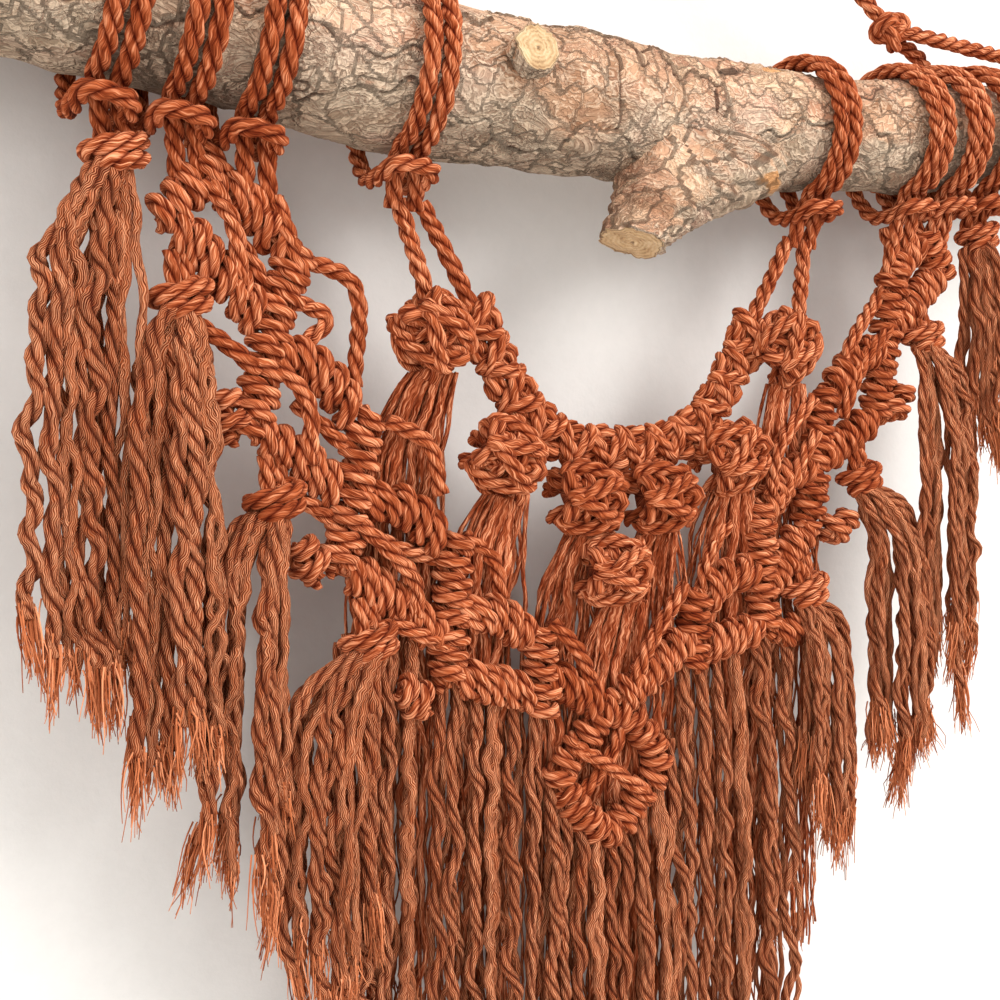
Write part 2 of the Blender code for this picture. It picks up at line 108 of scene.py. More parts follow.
# %% Lines through points
def unit(vectors):
    """Each vector divided by its own length."""
    return vectors / np.linalg.norm(vectors, axis=-1, keepdims=True)


def distance_along(line):
    """How far along a line each of its points lies: the running sum of the steps."""
    steps = np.linalg.norm(np.diff(line, axis=0), axis=1)
    return np.concatenate(([0.0], np.cumsum(steps)))


def read_off(at, along, vectors):
    """Vectors known at the distances `along`, interpolated at the distances `at`."""
    return np.stack([np.interp(at, along, vectors[:, k]) for k in range(3)], -1)


def evenly(line, spacing):
    """The same line with points at equal steps of length, by linear interpolation."""
    along = distance_along(line)
    count = max(5, int(round(along[-1] / spacing)) + 1)
    return read_off(np.linspace(0.0, along[-1], count), along, line)


def smooth(points, spacing=0.0012):
    """Catmull-Rom: b + ((c-a)t + (2a-5b+4c-d)t^2 + (3b-a-3c+d)t^3)/2 between b and c."""
    p = np.asarray(points, float)
    ends = np.vstack((2 * p[0] - p[1], p, 2 * p[-1] - p[-2]))
    t = np.linspace(0.0, 1.0, 25)[None, :-1, None]
    a, b, c, d = (ends[k:k + len(p) - 1, None, :] for k in range(4))
    curve = b + ((c - a) * t + (2 * a - 5 * b + 4 * c - d) * t**2 + (3 * b - a - 3 * c + d) * t**3) / 2
    return evenly(np.vstack((curve.reshape(-1, 3), p[-1])), spacing)


def length_of(line):
    """The sum of a line's steps."""
    return float(np.linalg.norm(np.diff(line, axis=0), axis=1).sum())


def mix(a, b, share):
    """The value `share` of the way from a to b."""
    return a + (b - a) * share


quarter = smooth([(1, 0, 0), (0.707, 0.707, 0), (0, 1, 0)], 0.01)
print("a quarter circle of radius 1 has length", round(length_of(quarter), 2))

# %% [markdown]
# ## A frame that travels along a line
# A tube needs two directions across its line at every station. A fixed direction squared up
# against the line would make the cord spin where it turns, so the spin from each station to the
# next is measured, added up and taken out again.

# %% Travelling frame
LOOKS = unit(np.array(((1, 0, 0), (0, 1, 0), (0, 0, 1), (1, 1, 0), (1, 0, 1), (0, 1, 1),
                       (1, -1, 0), (1, 0, -1), (0, 1, -1), (1, 1, 1), (-1, 1, 1)), float))


def travelling_frame(line):
    """Two unit directions across the line that never spin round it.

    normal = reference less its part along the tangent; each normal is carried to the next
    tangent by the smallest rotation, and the angles to the next normal are summed.
    """
    tangent = unit(np.gradient(line, axis=0))
    reference = LOOKS[np.abs(tangent @ LOOKS.T).max(axis=0).argmin()]
    normal = unit(reference - (tangent @ reference)[:, None] * tangent)
    across = np.cross(tangent, normal)
    before, after = tangent[:-1], tangent[1:]
    axis = np.cross(before, after)
    cosine = (before * after).sum(axis=1, keepdims=True)
    old = normal[:-1]
    pull = (axis * old).sum(axis=1, keepdims=True) / np.maximum(1.0 + cosine, 1e-6)
    carried = old * cosine + np.cross(axis, old) + axis * pull
    angle = np.arctan2((carried * across[1:]).sum(axis=1), (carried * normal[1:]).sum(axis=1))
    spin = np.concatenate(([0.0], np.cumsum(angle)))[:, None]
    first = normal * np.cos(spin) + across * np.sin(spin)
    return first, np.cross(tangent, first)


# %% [markdown]
# ## Surfaces on a grid
# Every new shape is a grid of points: stations along a path, and places round it. One function
# turns a grid into faces with a pole at each end, so that no piece is open, and another gathers
# many grids into one mesh. Two numbers are kept at each point: how deep it lies in a groove, and
# a shade that is the same all along one strand.

# %% Grids into meshes
TRIANGLES = {}


def closed_grid(grid, around_u, along_v, groove, shade, finish=0):
    """Quads between neighbouring rings, and triangles from each end ring to its own middle."""
    rings, sides = grid.shape[:2]
    i, j = np.meshgrid(np.arange(rings - 1), np.arange(sides), indexing="ij")
    k = (j + 1) % sides
    quads = np.stack((i * sides + j, i * sides + k, (i + 1) * sides + k, (i + 1) * sides + j), -1)
    u = np.concatenate((around_u, around_u[:, :1] + (around_u[:, 1] - around_u[:, 0])[:, None] * sides), 1)
    v = np.broadcast_to(along_v[:, None], u.shape)
    uv = np.stack((u, v), -1)
    quad_uv = np.stack((uv[i, j], uv[i, j + 1], uv[i + 1, j + 1], uv[i + 1, j]), -2)
    side = np.arange(sides)
    nxt = (side + 1) % sides
    start, end = rings * sides, rings * sides + 1
    last = (rings - 1) * sides
    head = np.stack((nxt, side, np.full(sides, start)), -1)
    tail = np.stack((last + side, last + nxt, np.full(sides, end)), -1)
    head_uv = np.stack((uv[0, side + 1], uv[0, side], uv[0, side]), -2)
    tail_uv = np.stack((uv[-1, side], uv[-1, side + 1], uv[-1, side]), -2)
    points = np.concatenate((grid.reshape(-1, 3), grid[0].mean(0)[None], grid[-1].mean(0)[None]))
    depth = np.concatenate((groove.reshape(-1), (0.6, 0.6)))
    return {
        "points": points, "quads": quads.reshape(-1, 4), "tris": np.concatenate((head, tail)),
        "quad_uv": quad_uv.reshape(-1, 4, 2), "tri_uv": np.concatenate((head_uv, tail_uv)),
        "groove": depth, "shade": np.full(len(points), shade), "finish": finish,
    }


def mesh_from(name, surfaces, materials):
    """One mesh object at the origin from many surfaces, with its UV map and attributes."""
    offsets = np.cumsum([0] + [len(s["points"]) for s in surfaces])
    points = np.concatenate([s["points"] for s in surfaces])
    quads = np.concatenate([s["quads"] + o for s, o in zip(surfaces, offsets)])
    tris = np.concatenate([s["tris"] + o for s, o in zip(surfaces, offsets)])
    uv = np.concatenate([s["quad_uv"].reshape(-1, 2) for s in surfaces]
                        + [s["tri_uv"].reshape(-1, 2) for s in surfaces])
    indices = [np.broadcast_to(s["finish"], len(s["quads"])) for s in surfaces]
    indices += [np.broadcast_to(s.get("end_finish", s["finish"]), len(s["tris"])) for s in surfaces]
    mesh = bpy.data.meshes.new(name)
    mesh.vertices.add(len(points))
    mesh.vertices.foreach_set("co", points.astype(np.float32).ravel())
    corners = np.concatenate((quads.ravel(), tris.ravel())).astype(np.int32)
    mesh.loops.add(len(corners))
    mesh.loops.foreach_set("vertex_index", corners)
    starts = np.concatenate((np.arange(len(quads)) * 4, len(quads) * 4 + np.arange(len(tris)) * 3))
    mesh.polygons.add(len(starts))
    mesh.polygons.foreach_set("loop_start", starts.astype(np.int32))
    mesh.update(calc_edges=True)
    mesh.polygons.foreach_set("material_index", np.concatenate(indices).astype(np.int32))
    mesh.polygons.foreach_set("use_smooth", np.ones(len(starts), bool))
    mesh.uv_layers.new(name="UVMap").data.foreach_set("uv", uv.astype(np.float32).ravel())
    for key in ("groove", "shade"):
        values = np.concatenate([s[key] for s in surfaces]).astype(np.float32)
        mesh.attributes.new(key, "FLOAT", "POINT").data.foreach_set("value", values)
    for material in materials:
        mesh.materials.append(material)
    mesh.validate()
    made = bpy.data.objects.new(name, mesh)
    bpy.context.scene.collection.objects.link(made)
    TRIANGLES[name] = 2 * len(quads) + len(tris)
    return made


# %% [markdown]
# ## Rope
# Three plies lie round each other in a left-hand twist, like the middle stroke of the letter S.
# The outline across the rope is three circles that overlap: at an angle p from a ply's own
# middle the edge is c cos p + sqrt(a^2 - c^2 sin^2 p). Turning that outline as it travels gives
# the bumps and the grooves between the plies, and the depth in the groove is kept so that the
# finish can paint shade into the grooves.

# %% Rope surface
PLY_REACH = 0.46  # the plies' middles, as a share of the rope's radius
PLY_R = 0.54
# Places round one ply, with how deep in the groove each lies: a fine set and a coarse one.
FIVE = np.radians((-60.0, -34.0, -11.0, 11.0, 34.0))
FIVE_GROOVE = np.array((1.0, 0.25, 0.0, 0.0, 0.25))
THREE = np.radians((-60.0, -20.0, 20.0))
THREE_GROOVE = np.array((1.0, 0.1, 0.1))


def waver(length_along, rng, wave, amount):
    """A smooth wobble: three sines of nearby wave lengths and random phases, added."""
    total = 0.0
    for stretch in (1.0, 0.63, 1.71):
        phase, tune = rng.uniform(0.0, 2 * math.pi), rng.uniform(0.85, 1.15)
        total = total + np.sin(2 * math.pi * length_along / (wave * stretch * tune) + phase)
    return amount * total / 1.8


def rope(line, rng, radius=CORD_R, lay=LAY, fine=True, swell=0.04, taper=0.0, flat=1.0):
    """The three-circle outline carried along a line while it turns once in each lay.

    `swell` lets the radius breathe by that share, `taper` narrows the far end by that share,
    and `flat` presses the rope in its second direction.
    """
    first, second = travelling_frame(line)
    along = distance_along(line)
    local, depth = (FIVE, FIVE_GROOVE) if fine else (THREE, THREE_GROOVE)
    spots = (np.arange(3)[:, None] * (2 * math.pi / 3) + local).ravel()
    edge = PLY_REACH * np.cos(local) + np.sqrt(PLY_R**2 - (PLY_REACH * np.sin(local)) ** 2)
    width = radius * (1.0 + waver(along, rng, 0.011, swell)) * (1.0 - taper * along / along[-1])
    twist = -2 * math.pi * along / lay + rng.uniform(0.0, 6.28) + waver(along, rng, 0.03, 0.25)
    angle = spots[None, :] + twist[:, None]
    reach = width[:, None] * np.tile(edge, 3)[None, :]
    grid = line[:, None, :] + (reach * np.cos(angle))[..., None] * first[:, None, :]
    grid = grid + (reach * flat * np.sin(angle))[..., None] * second[:, None, :]
    groove = np.broadcast_to(np.tile(depth, 3), reach.shape)
    return closed_grid(grid, angle * radius, along, groove, rng.uniform(0.0, 1.0))


def strand(line, rng, radius, sides=7, taper=0.3, lumps=0.12):
    """One unravelled ply: a round outline whose radius is uneven round it and along it."""
    first, second = travelling_frame(line)
    along = distance_along(line)
    angle = np.broadcast_to(np.arange(sides) * (2 * math.pi / sides), (len(line), sides))
    width = radius * (1.0 + waver(along, rng, 0.009, lumps)) * (1.0 - taper * along / along[-1])
    ridge = 1.0 + lumps * np.sin(2 * angle + 2 * math.pi * along[:, None] / 0.02 + rng.uniform(0, 6))
    reach = width[:, None] * ridge
    grid = line[:, None, :] + (reach * np.cos(angle))[..., None] * first[:, None, :]
    grid = grid + (reach * np.sin(angle))[..., None] * second[:, None, :]
    return closed_grid(grid, angle * radius, along, 0.5 - 0.5 * ridge, rng.uniform(0.0, 1.0))


# %% [markdown]
# ## Frayed ends
# A cut cotton cord opens into a small brush. Each hair is a thin three-sided tube that leaves
# the end of the cord and bends away from its neighbours. All the hairs of a piece are worked
# out in one go.

# %% Brush hairs
def hairs(starts, headings, lengths, spread, radius, rng, rings=6):
    """Point = start + L (heading t + side spread t^2 + curl sin kt), three sides each."""
    count = len(starts)
    t = np.linspace(0.0, 1.0, rings)[None, :, None]
    side = rng.normal(0.0, 1.0, (count, 1, 3))
    curl = rng.normal(0.0, 0.045, (count, 1, 3)) * np.sin(t * rng.uniform(3.0, 6.0, (count, 1, 1)))
    reach = lengths[:, None, None]
    line = starts[:, None, :] + reach * (headings[:, None, :] * t + side * spread * t**2 + curl)
    tangent = unit(np.gradient(line, axis=1))
    first = unit(np.cross(tangent, unit(np.array((0.31, 0.87, 0.4)))))
    second = np.cross(tangent, first)
    angle = np.arange(3) * (2 * math.pi / 3)
    thin = radius * (1.0 - 0.6 * t[..., None])
    grid = line[:, :, None, :] + thin * (
        np.cos(angle)[None, None, :, None] * first[:, :, None, :]
        + np.sin(angle)[None, None, :, None] * second[:, :, None, :])
    points = grid.reshape(count, -1, 3)
    poles = np.stack((line[:, 0], line[:, -1]), 1)
    points = np.concatenate((points, poles), 1)
    i, j = np.meshgrid(np.arange(rings - 1), np.arange(3), indexing="ij")
    k = (j + 1) % 3
    quads = np.stack((i * 3 + j, i * 3 + k, (i + 1) * 3 + k, (i + 1) * 3 + j), -1).reshape(-1, 4)
    s = np.arange(3)
    n = (s + 1) % 3
    head = np.stack((n, s, np.full(3, rings * 3)), -1)
    tail = np.stack(((rings - 1) * 3 + s, (rings - 1) * 3 + n, np.full(3, rings * 3 + 1)), -1)
    tris = np.concatenate((head, tail))
    offset = (np.arange(count) * points.shape[1])[:, None, None]
    return {
        "points": points.reshape(-1, 3), "quads": (quads[None] + offset).reshape(-1, 4),
        "tris": (tris[None] + offset).reshape(-1, 3), "quad_uv": np.zeros((count * len(quads), 4, 2)),
        "tri_uv": np.zeros((count * len(tris), 3, 2)),
        "groove": np.zeros(points.shape[0] * points.shape[1]),
        "shade": np.repeat(rng.uniform(0.55, 1.0, count), points.shape[1]), "finish": 0,
    }


def brush(line, rng, count=16, width=0.0020, reach=(0.009, 0.018), spread=0.05, radius=0.00028):
    """Hairs from the last few millimetres of a strand, on its own heading turned downwards."""
    heading = unit(unit(line[-1] - line[-5]) - 0.6 * UP)
    back = rng.uniform(0.0005, 0.006, count)[:, None]
    starts = line[-1] - heading * back + rng.normal(0.0, 0.5 * width, (count, 3))
    lengths = rng.uniform(*reach, count)
    return hairs(starts, np.tile(heading, (count, 1)), lengths, spread, radius, rng)


# %% [markdown]
# ## Shader sums
# A finish is worked out as sums on wires: `a * b + 1` between two wires adds the Math nodes that
# do it. Any other node comes from one method, so that every finish below reads as a recipe.

# %% Wires and finishes
class Wire:
    """The output socket of a node. Arithmetic on it adds a Math node."""

    def __init__(self, finish, socket):
        self.finish = finish
        self.socket = socket

    def sum(self, operation, first, second):
        return self.finish.node("ShaderNodeMath", {"operation": operation}, {0: first, 1: second})

    def __add__(self, other):
        return self.sum("ADD", self, other)

    def __sub__(self, other):
        return self.sum("SUBTRACT", self, other)

    def __mul__(self, other):
        return self.sum("MULTIPLY", self, other)


class Finish:
    """A material being made. node() is the one way in which nodes are added to it."""

    def __init__(self, name):
        self.material = bpy.data.materials.new(name)
        self.material.use_nodes = True
        self.tree = self.material.node_tree
        self.shader = self.tree.nodes["Principled BSDF"]

    def feed(self, socket, value):
        if isinstance(value, Wire):
            self.tree.links.new(value.socket, socket)
        else:
            socket.default_value = value

    def node(self, kind, settings=None, values=None, out=0):
        made = self.tree.nodes.new(kind)
        for key, value in (settings or {}).items():
            if key == "stops":
                ramp = made.color_ramp.elements
                while len(ramp) < len(value):
                    ramp.new(0.5)
                for stop, (position, colour) in zip(ramp, value):
                    stop.position = position
                    stop.color = (*colour, 1.0)
            else:
                setattr(made, key, value)
        for key, value in (values or {}).items():
            self.feed(made.inputs[key], value)
        return Wire(self, made.outputs[out])

    def set(self, **values):
        for key, value in values.items():
            self.feed(self.shader.inputs[key.replace("_", " ")], value)
        return self

    def attribute(self, name):
        return self.node("ShaderNodeAttribute", {"attribute_name": name}, out="Fac")

    def blend(self, share, first, second, how="MIX"):
        settings = {"data_type": "RGBA", "blend_type": how, "clamp_factor": True}
        return self.node("ShaderNodeMix", settings, {0: share, 6: first, 7: second}, out=2)

    def stretch(self, vector, scale):
        return self.vectors("MULTIPLY", vector, scale)

    def noise(self, vector, scale, detail=2.0, rough=0.5, warp=0.0):
        values = {"Vector": vector, "Scale": scale, "Detail": detail, "Roughness": rough, "Distortion": warp}
        return self.node("ShaderNodeTexNoise", None, values)

    def ramp(self, value, *stops):
        return self.node("ShaderNodeValToRGB", {"stops": stops}, {0: value})

    def between(self, value, low, high):
        settings = {"interpolation_type": "SMOOTHSTEP"}
        return self.node("ShaderNodeMapRange", settings, {0: value, 1: low, 2: high, 3: 0.0, 4: 1.0})

    def bump(self, height, strength, distance):
        values = {"Strength": strength, "Distance": distance, "Height": height}
        return self.node("ShaderNodeBump", None, values)

    def sine(self, value):
        return self.node("ShaderNodeMath", {"operation": "SINE"}, {0: value})

    def joined(self, x, y, z):
        return self.node("ShaderNodeCombineXYZ", None, {0: x, 1: y, 2: z})

    def part(self, vector, index):
        return self.node("ShaderNodeSeparateXYZ", None, {0: vector}, out=index)

    def vectors(self, operation, first, second):
        return self.node("ShaderNodeVectorMath", {"operation": operation}, {0: first, 1: second})


# %% [markdown]
# ## Dyed cotton
# Cotton cord is matt. Up close it shows fine fibres that run almost along the cord, crimped a
# little by the yarn's own twist. The colour holds painted light: darker fibres between lighter
# ones as painted shade, pale fuzz on the crowns that is partly a painted highlight, and a deep,
# warm painted shadow in the grooves. The UV map holds metres round and along the cord, so the
# fibres are the same size on every piece and follow every bend.

# %% Cotton finish
# Painted light in the dye: the first colour is painted shade between fibres and yarns, the last is pale fuzz
# and painted highlight.
RUST_PAINTED_SHADE = (0.125, 0.014, 0.003, 1.0)
RUST = (0.575, 0.138, 0.044, 1.0)
RUST_PALE_FUZZ_AND_HIGHLIGHT = (0.980, 0.455, 0.250, 1.0)


def cotton(name, dye=RUST, crimp=0.0002, relief=0.0003, yarn=0.0, hair=1.0):
    """Base colour from fibre noise, the strand's shade and the groove; bump from the fibres.

    `crimp` is how far the fibres sway, `relief` is the height of the bump and `hair` is how
    strong the pale crowns are, which are partly paler fuzz and partly painted highlight. Darker
    fibres and the grooves carry painted shade. `yarn` is the width of the yarns that show as
    parallel lines where a cord has come open, with painted shade between them and a painted
    highlight on them.
    """
    f = Finish(name)
    uv = f.node("ShaderNodeUVMap", {"uv_map": "UVMap"})
    round_it = f.part(uv, 0)
    along = f.part(uv, 1)
    shade = f.attribute("shade")
    groove = f.attribute("groove")
    drift = f.noise(f.joined(round_it * 160.0, along * 120.0, shade * 53.0), 1.0, 1.0, 0.5)
    wave = f.sine(along * 1800.0 + shade * 20.0 + drift * 9.0)
    bent = round_it + wave * crimp
    fibre = f.noise(f.joined(bent * 2600.0, along * 150.0, shade * 37.0), 1.0, 3.0, 0.62)
    tuft = f.noise(f.joined(bent * 700.0, along * 210.0, shade * 11.0), 1.0, 2.0, 0.55)
    # Darker fibres between lighter ones: painted shade.
    lit = f.between(fibre * 0.7 + tuft * 0.3, 0.34, 0.61)
    colour = f.blend(lit, RUST_PAINTED_SHADE, dye)
    # Pale fuzz on the crowns, partly painted highlight.
    crown = f.between(fibre, 0.46, 0.68) * f.between(tuft + shade * 0.25, 0.38, 0.70)
    colour = f.blend(crown * 0.92 * hair, colour, RUST_PALE_FUZZ_AND_HIGHLIGHT)
    height = fibre * 0.9 + tuft * 0.5
    if yarn:
        # Dark lines between the yarns are painted shade; pale lines on them are painted highlight.
        line = f.sine(bent * (2 * math.pi / yarn) + drift * 11.0)
        colour = f.blend(f.between(line, -0.35, -1.0) * (tuft * 1.3), colour, RUST_PAINTED_SHADE)
        colour = f.blend(f.between(line, 0.1, 1.0) * (drift * 1.1), colour, RUST_PALE_FUZZ_AND_HIGHLIGHT)
        height = height + line * 0.45
    tint = f.ramp(shade, (0.0, (0.84, 0.80, 0.78)), (0.5, (0.97, 0.96, 0.95)), (1.0, (1.0, 1.0, 1.0)))
    colour = f.blend(1.0, colour, tint, "MULTIPLY")
    # Painted shade: the deeper a place lies in a groove between plies, the darker it is.
    dark = f.ramp(groove, (0.0, (1.0, 1.0, 1.0)), (0.3, (0.86, 0.76, 0.71)), (1.0, (0.22, 0.07, 0.035)))
    colour = f.blend(1.0, colour, dark, "MULTIPLY")
    f.set(Base_Color=colour, Roughness=0.95, Normal=f.bump(height, 1.0, relief))
    f.shader.inputs["Specular IOR Level"].default_value = 0.08
    f.shader.inputs["Sheen Weight"].default_value = 0.04
    f.shader.inputs["Sheen Roughness"].default_value = 0.5
    f.shader.inputs["Sheen Tint"].default_value = (1.0, 0.55, 0.35, 1.0)
    return f.material


COTTON = cotton("rust_cotton_cord")
LOOSENED = cotton("rust_loosened_cord", (0.670, 0.155, 0.040, 1.0), 0.00030, 0.0004, 0.00064)
YARN = cotton("rust_cotton_yarn", dye=(0.500, 0.112, 0.036, 1.0), relief=0.00022)
FIBRE = cotton("rust_cotton_fibre", dye=(0.740, 0.225, 0.085, 1.0), relief=0.0001, hair=0.6)
print("cotton finishes:", COTTON.name, LOOSENED.name, YARN.name, FIBRE.name)

# %% [markdown]
# ## Putting a piece in its place
# Each finished piece is told two things: the body that it moves with and the imported solids
# that it stands for.

# %% Pieces of cord
def luck(name):
    """A random source that depends only on the piece's name, so a rerun gives the same cord."""
    seed = sum(ord(letter) * (index + 1) for index, letter in enumerate(name))
    return np.random.default_rng(seed)


def place(piece, body, nodes=()):
    """Ride with the body and stand in for the named solids."""
    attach(piece, body)
    if nodes:
        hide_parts(*nodes)
    return piece


def knotted(name, surfaces, body, nodes=(), material=None):
    """Gather surfaces of cord into one placed piece."""
    return place(mesh_from(name, surfaces, [material or COTTON]), body, nodes)


# %% [markdown]
# ## Round the branch
# The branch bows upwards at both ends and tapers to the right. A place beside it is given by how
# far along it lies and by a turn round it: none is straight below, a quarter is the room side and
# a half is on top.

# %% The branch's own shape
AXIS_DROP = 0.1115
BRANCH_RISE = 0.51
BRANCH_LENGTH = 0.420
BRANCH_ENDS_R = (0.0205, 0.0160)
BARK_R = 0.019  # the radius at which the bark is unrolled
KNOTS_OFF = 0.0165  # how far a hanger knot's middle stands off the bark


def branch_z(x):
    """Height of the branch's axis: a parabola."""
    return BRANCH_RISE * x * x - AXIS_DROP


def branch_r(x):
    """An even taper with a swelling where side shoots grew."""
    swell = 0.0015 * np.exp(-(((x + 0.050) / 0.030) ** 2))
    return mix(*BRANCH_ENDS_R, x / BRANCH_LENGTH + 0.5) + swell


def around(x, degrees, distance):
    """axis point + (down cos turn + room sin turn) * distance, for arrays of any of them."""
    x, degrees, distance = np.broadcast_arrays(*(np.asarray(v, float) for v in (x, degrees, distance)))
    turn = np.radians(degrees)[..., None]
    down = unit(np.stack((2 * BRANCH_RISE * x, 0 * x, 0 * x - 1.0), -1))
    out = down * np.cos(turn) + ROOM * np.sin(turn)
    return np.stack((x, 0 * x, branch_z(x)), -1) + out * distance[..., None]


print("top of the bark in the middle:", around(0.0, 180.0, branch_r(0.0)).round(4))

# %% [markdown]
# ## The hanging cord
# One cord goes over the nail and down to a knot above each end of the branch. It carries the
# whole weight, so it is straight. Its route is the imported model's: knot, nail, knot.

# %% Hanging cord
KNOT_SPOTS = {"left": -0.132, "right": 0.108}
KNOT_AT = {side: around(x, 180.0, branch_r(x) + KNOTS_OFF) for side, x in KNOT_SPOTS.items()}
APEX = np.array((0.0, 0.0, CORD_R))


def hanging_cord():
    """The rope from one knot over the nail to the other."""
    ends = [KNOT_AT[side] + unit(APEX - KNOT_AT[side]) * 0.0055 for side in ("left", "right")]
    bend = [APEX + unit(end - APEX) * 0.004 for end in ends]
    runs = [mix(end, corner, 0.5) for end, corner in zip(ends, bend)]
    line = smooth([ends[0], runs[0], bend[0], APEX, bend[1], runs[1], ends[1]])
    piece = knotted("hanging_cord", [rope(line, luck("hanging_cord"))], "branch", ["hanger_cord"])
    length_of(line)
    return line


print("hanging cord:", round(length_of(hanging_cord()), 4), "m")

# %% [markdown]
# ## A falling cord
# A fringe cord leaves its knot at a slant, bends over within a few centimetres and then hangs
# straight, apart from the crimp that the old twist has left in it. Sideways it covers
# 1 - exp(-t/bend) of its way while it drops evenly, and three sines add the crimp.

# %% Falling lines
def falling(top, tip, rng, bend=0.14, crimp=0.0010, wave=0.021, arch=0.0):
    """Sideways = 1 - exp(-t/bend) of the way; down = t; wobble fades in over the first part."""
    top, tip = np.asarray(top, float), np.asarray(tip, float)
    drop = np.linalg.norm(tip - top)
    t = np.linspace(0.0, 1.0, max(24, int(drop / 0.0012)))
    ease = (1 - np.exp(-t / bend)) / (1 - np.exp(-1 / bend))
    lift = arch * np.sin(np.pi * np.clip(t / (3 * bend), 0.0, 1.0))
    along = t * drop
    fade = np.clip(t / 0.12, 0.0, 1.0)
    x = mix(top[0], tip[0], ease) + waver(along, rng, wave, crimp) * fade
    y = mix(top[1], tip[1], ease) + waver(along, rng, wave * 1.2, 0.8 * crimp) * fade
    z = mix(top[2], tip[2], t) + lift
    return np.stack((x, y, z), -1)


class Fringe:
    """Collects the cords, plies and brushes of one bunch of fringe, then makes its pieces."""

    def __init__(self, name, body, nodes=()):
        self.name, self.body, self.nodes = name, body, nodes
        self.rng = luck(name)
        self.cords, self.loose, self.ends = [], [], []

    def cord(self, top, tip, radius=0.0023, lay=0.019, declare=False, **shape):
        """A loosely twisted three-ply cord with a brush at its end."""
        line = evenly(falling(top, tip, self.rng, **shape), 0.0016)
        surface = rope(line, self.rng, radius, lay * self.rng.uniform(0.85, 1.3), fine=True,
                       swell=0.09, taper=0.12, flat=0.86)
        (self.cords if declare else self.loose).append((surface, line, radius))
        self.ends.append(brush(line, self.rng, 48, 0.8 * radius))
        return line

    def plies(self, top, tip, count=3, radius=0.0013, spread=0.0016, **shape):
        """Unravelled plies that hang side by side, each with its own crimp."""
        for _ in range(count):
            start = np.asarray(top) + self.rng.normal(0.0, 0.35 * spread, 3)
            end = np.asarray(tip) + self.rng.normal(0.0, spread, 3)
            line = evenly(falling(start, end, self.rng, **shape), 0.0017)
            self.loose.append((strand(line, self.rng, radius), line, radius))
            self.ends.append(brush(line, self.rng, 16, radius, (0.005, 0.012), 0.07))

    def yarn(self, top, tip, radius=0.0006, **shape):
        """A single fine yarn."""
        line = evenly(falling(top, tip, self.rng, **shape), 0.0038)
        self.loose.append((strand(line, self.rng, radius, 4, 0.5, 0.08), line, radius))

    def finish(self, material=None):
        """The loose strands and brushes as one piece, and each declared cord as its own."""
        for end in self.ends:
            end["finish"] = 1
        surfaces = [surface for surface, _, _ in self.loose] + self.ends
        body = mesh_from(self.name, surfaces, [material or LOOSENED, FIBRE])
        place(body, self.body, self.nodes)
        for number, (surface, line, radius) in enumerate(self.cords, 1):
            name = f"{self.name}_cord_{number}"
            piece = knotted(name, [surface], self.body, material=material or LOOSENED)
            length_of(line)
        print(self.name, len(self.cords) + len(self.loose), "strands")
        return body


# %% [markdown]
# ## Tassels
# Eight tassels hang down the two outer edges of the wings, four a side. Each is a bunch of cord
# ends under a tight turn of cord. Some of the cords still hold their twist, and others have come
# apart into plies. Each bunch hangs from its joint's pivot, with the places of its neck and tips
# listed in the table below; the tips lean a little outwards.

# %% Tassel bunches
TASSELS = {  # (neck x, tip x, tip z), cords, half width, trim off the tips
    ("left", 1): ((-0.142, -0.1512, -0.126), 7, 0.0115, 0.002),
    ("left", 2): ((-0.127, -0.130, -0.146), 8, 0.0110, 0.004),
    ("left", 3): ((-0.104, -0.112, -0.181), 8, 0.012, 0.010),
    ("left", 4): ((-0.079, -0.092, -0.205), 10, 0.016, 0.004),
    ("right", 1): ((0.142, 0.1415, -0.076), 8, 0.0085, 0.016),
    ("right", 2): ((0.117, 0.1255, -0.143), 11, 0.0130, 0.004),
    ("right", 3): ((0.090, 0.104, -0.168), 10, 0.0130, 0.004),
    ("right", 4): ((0.068, 0.077, -0.186), 10, 0.0125, 0.004),
}
TASSEL_CORD_R = {"left": (0.0021, 0.0027), "right": (0.0016, 0.0020)}  # thinnest and thickest
TASSEL_DECLARED = (0, 3, 5)
FRINGE_DECLARED = (0, 4, 8)
TASSEL_TOPS = {}


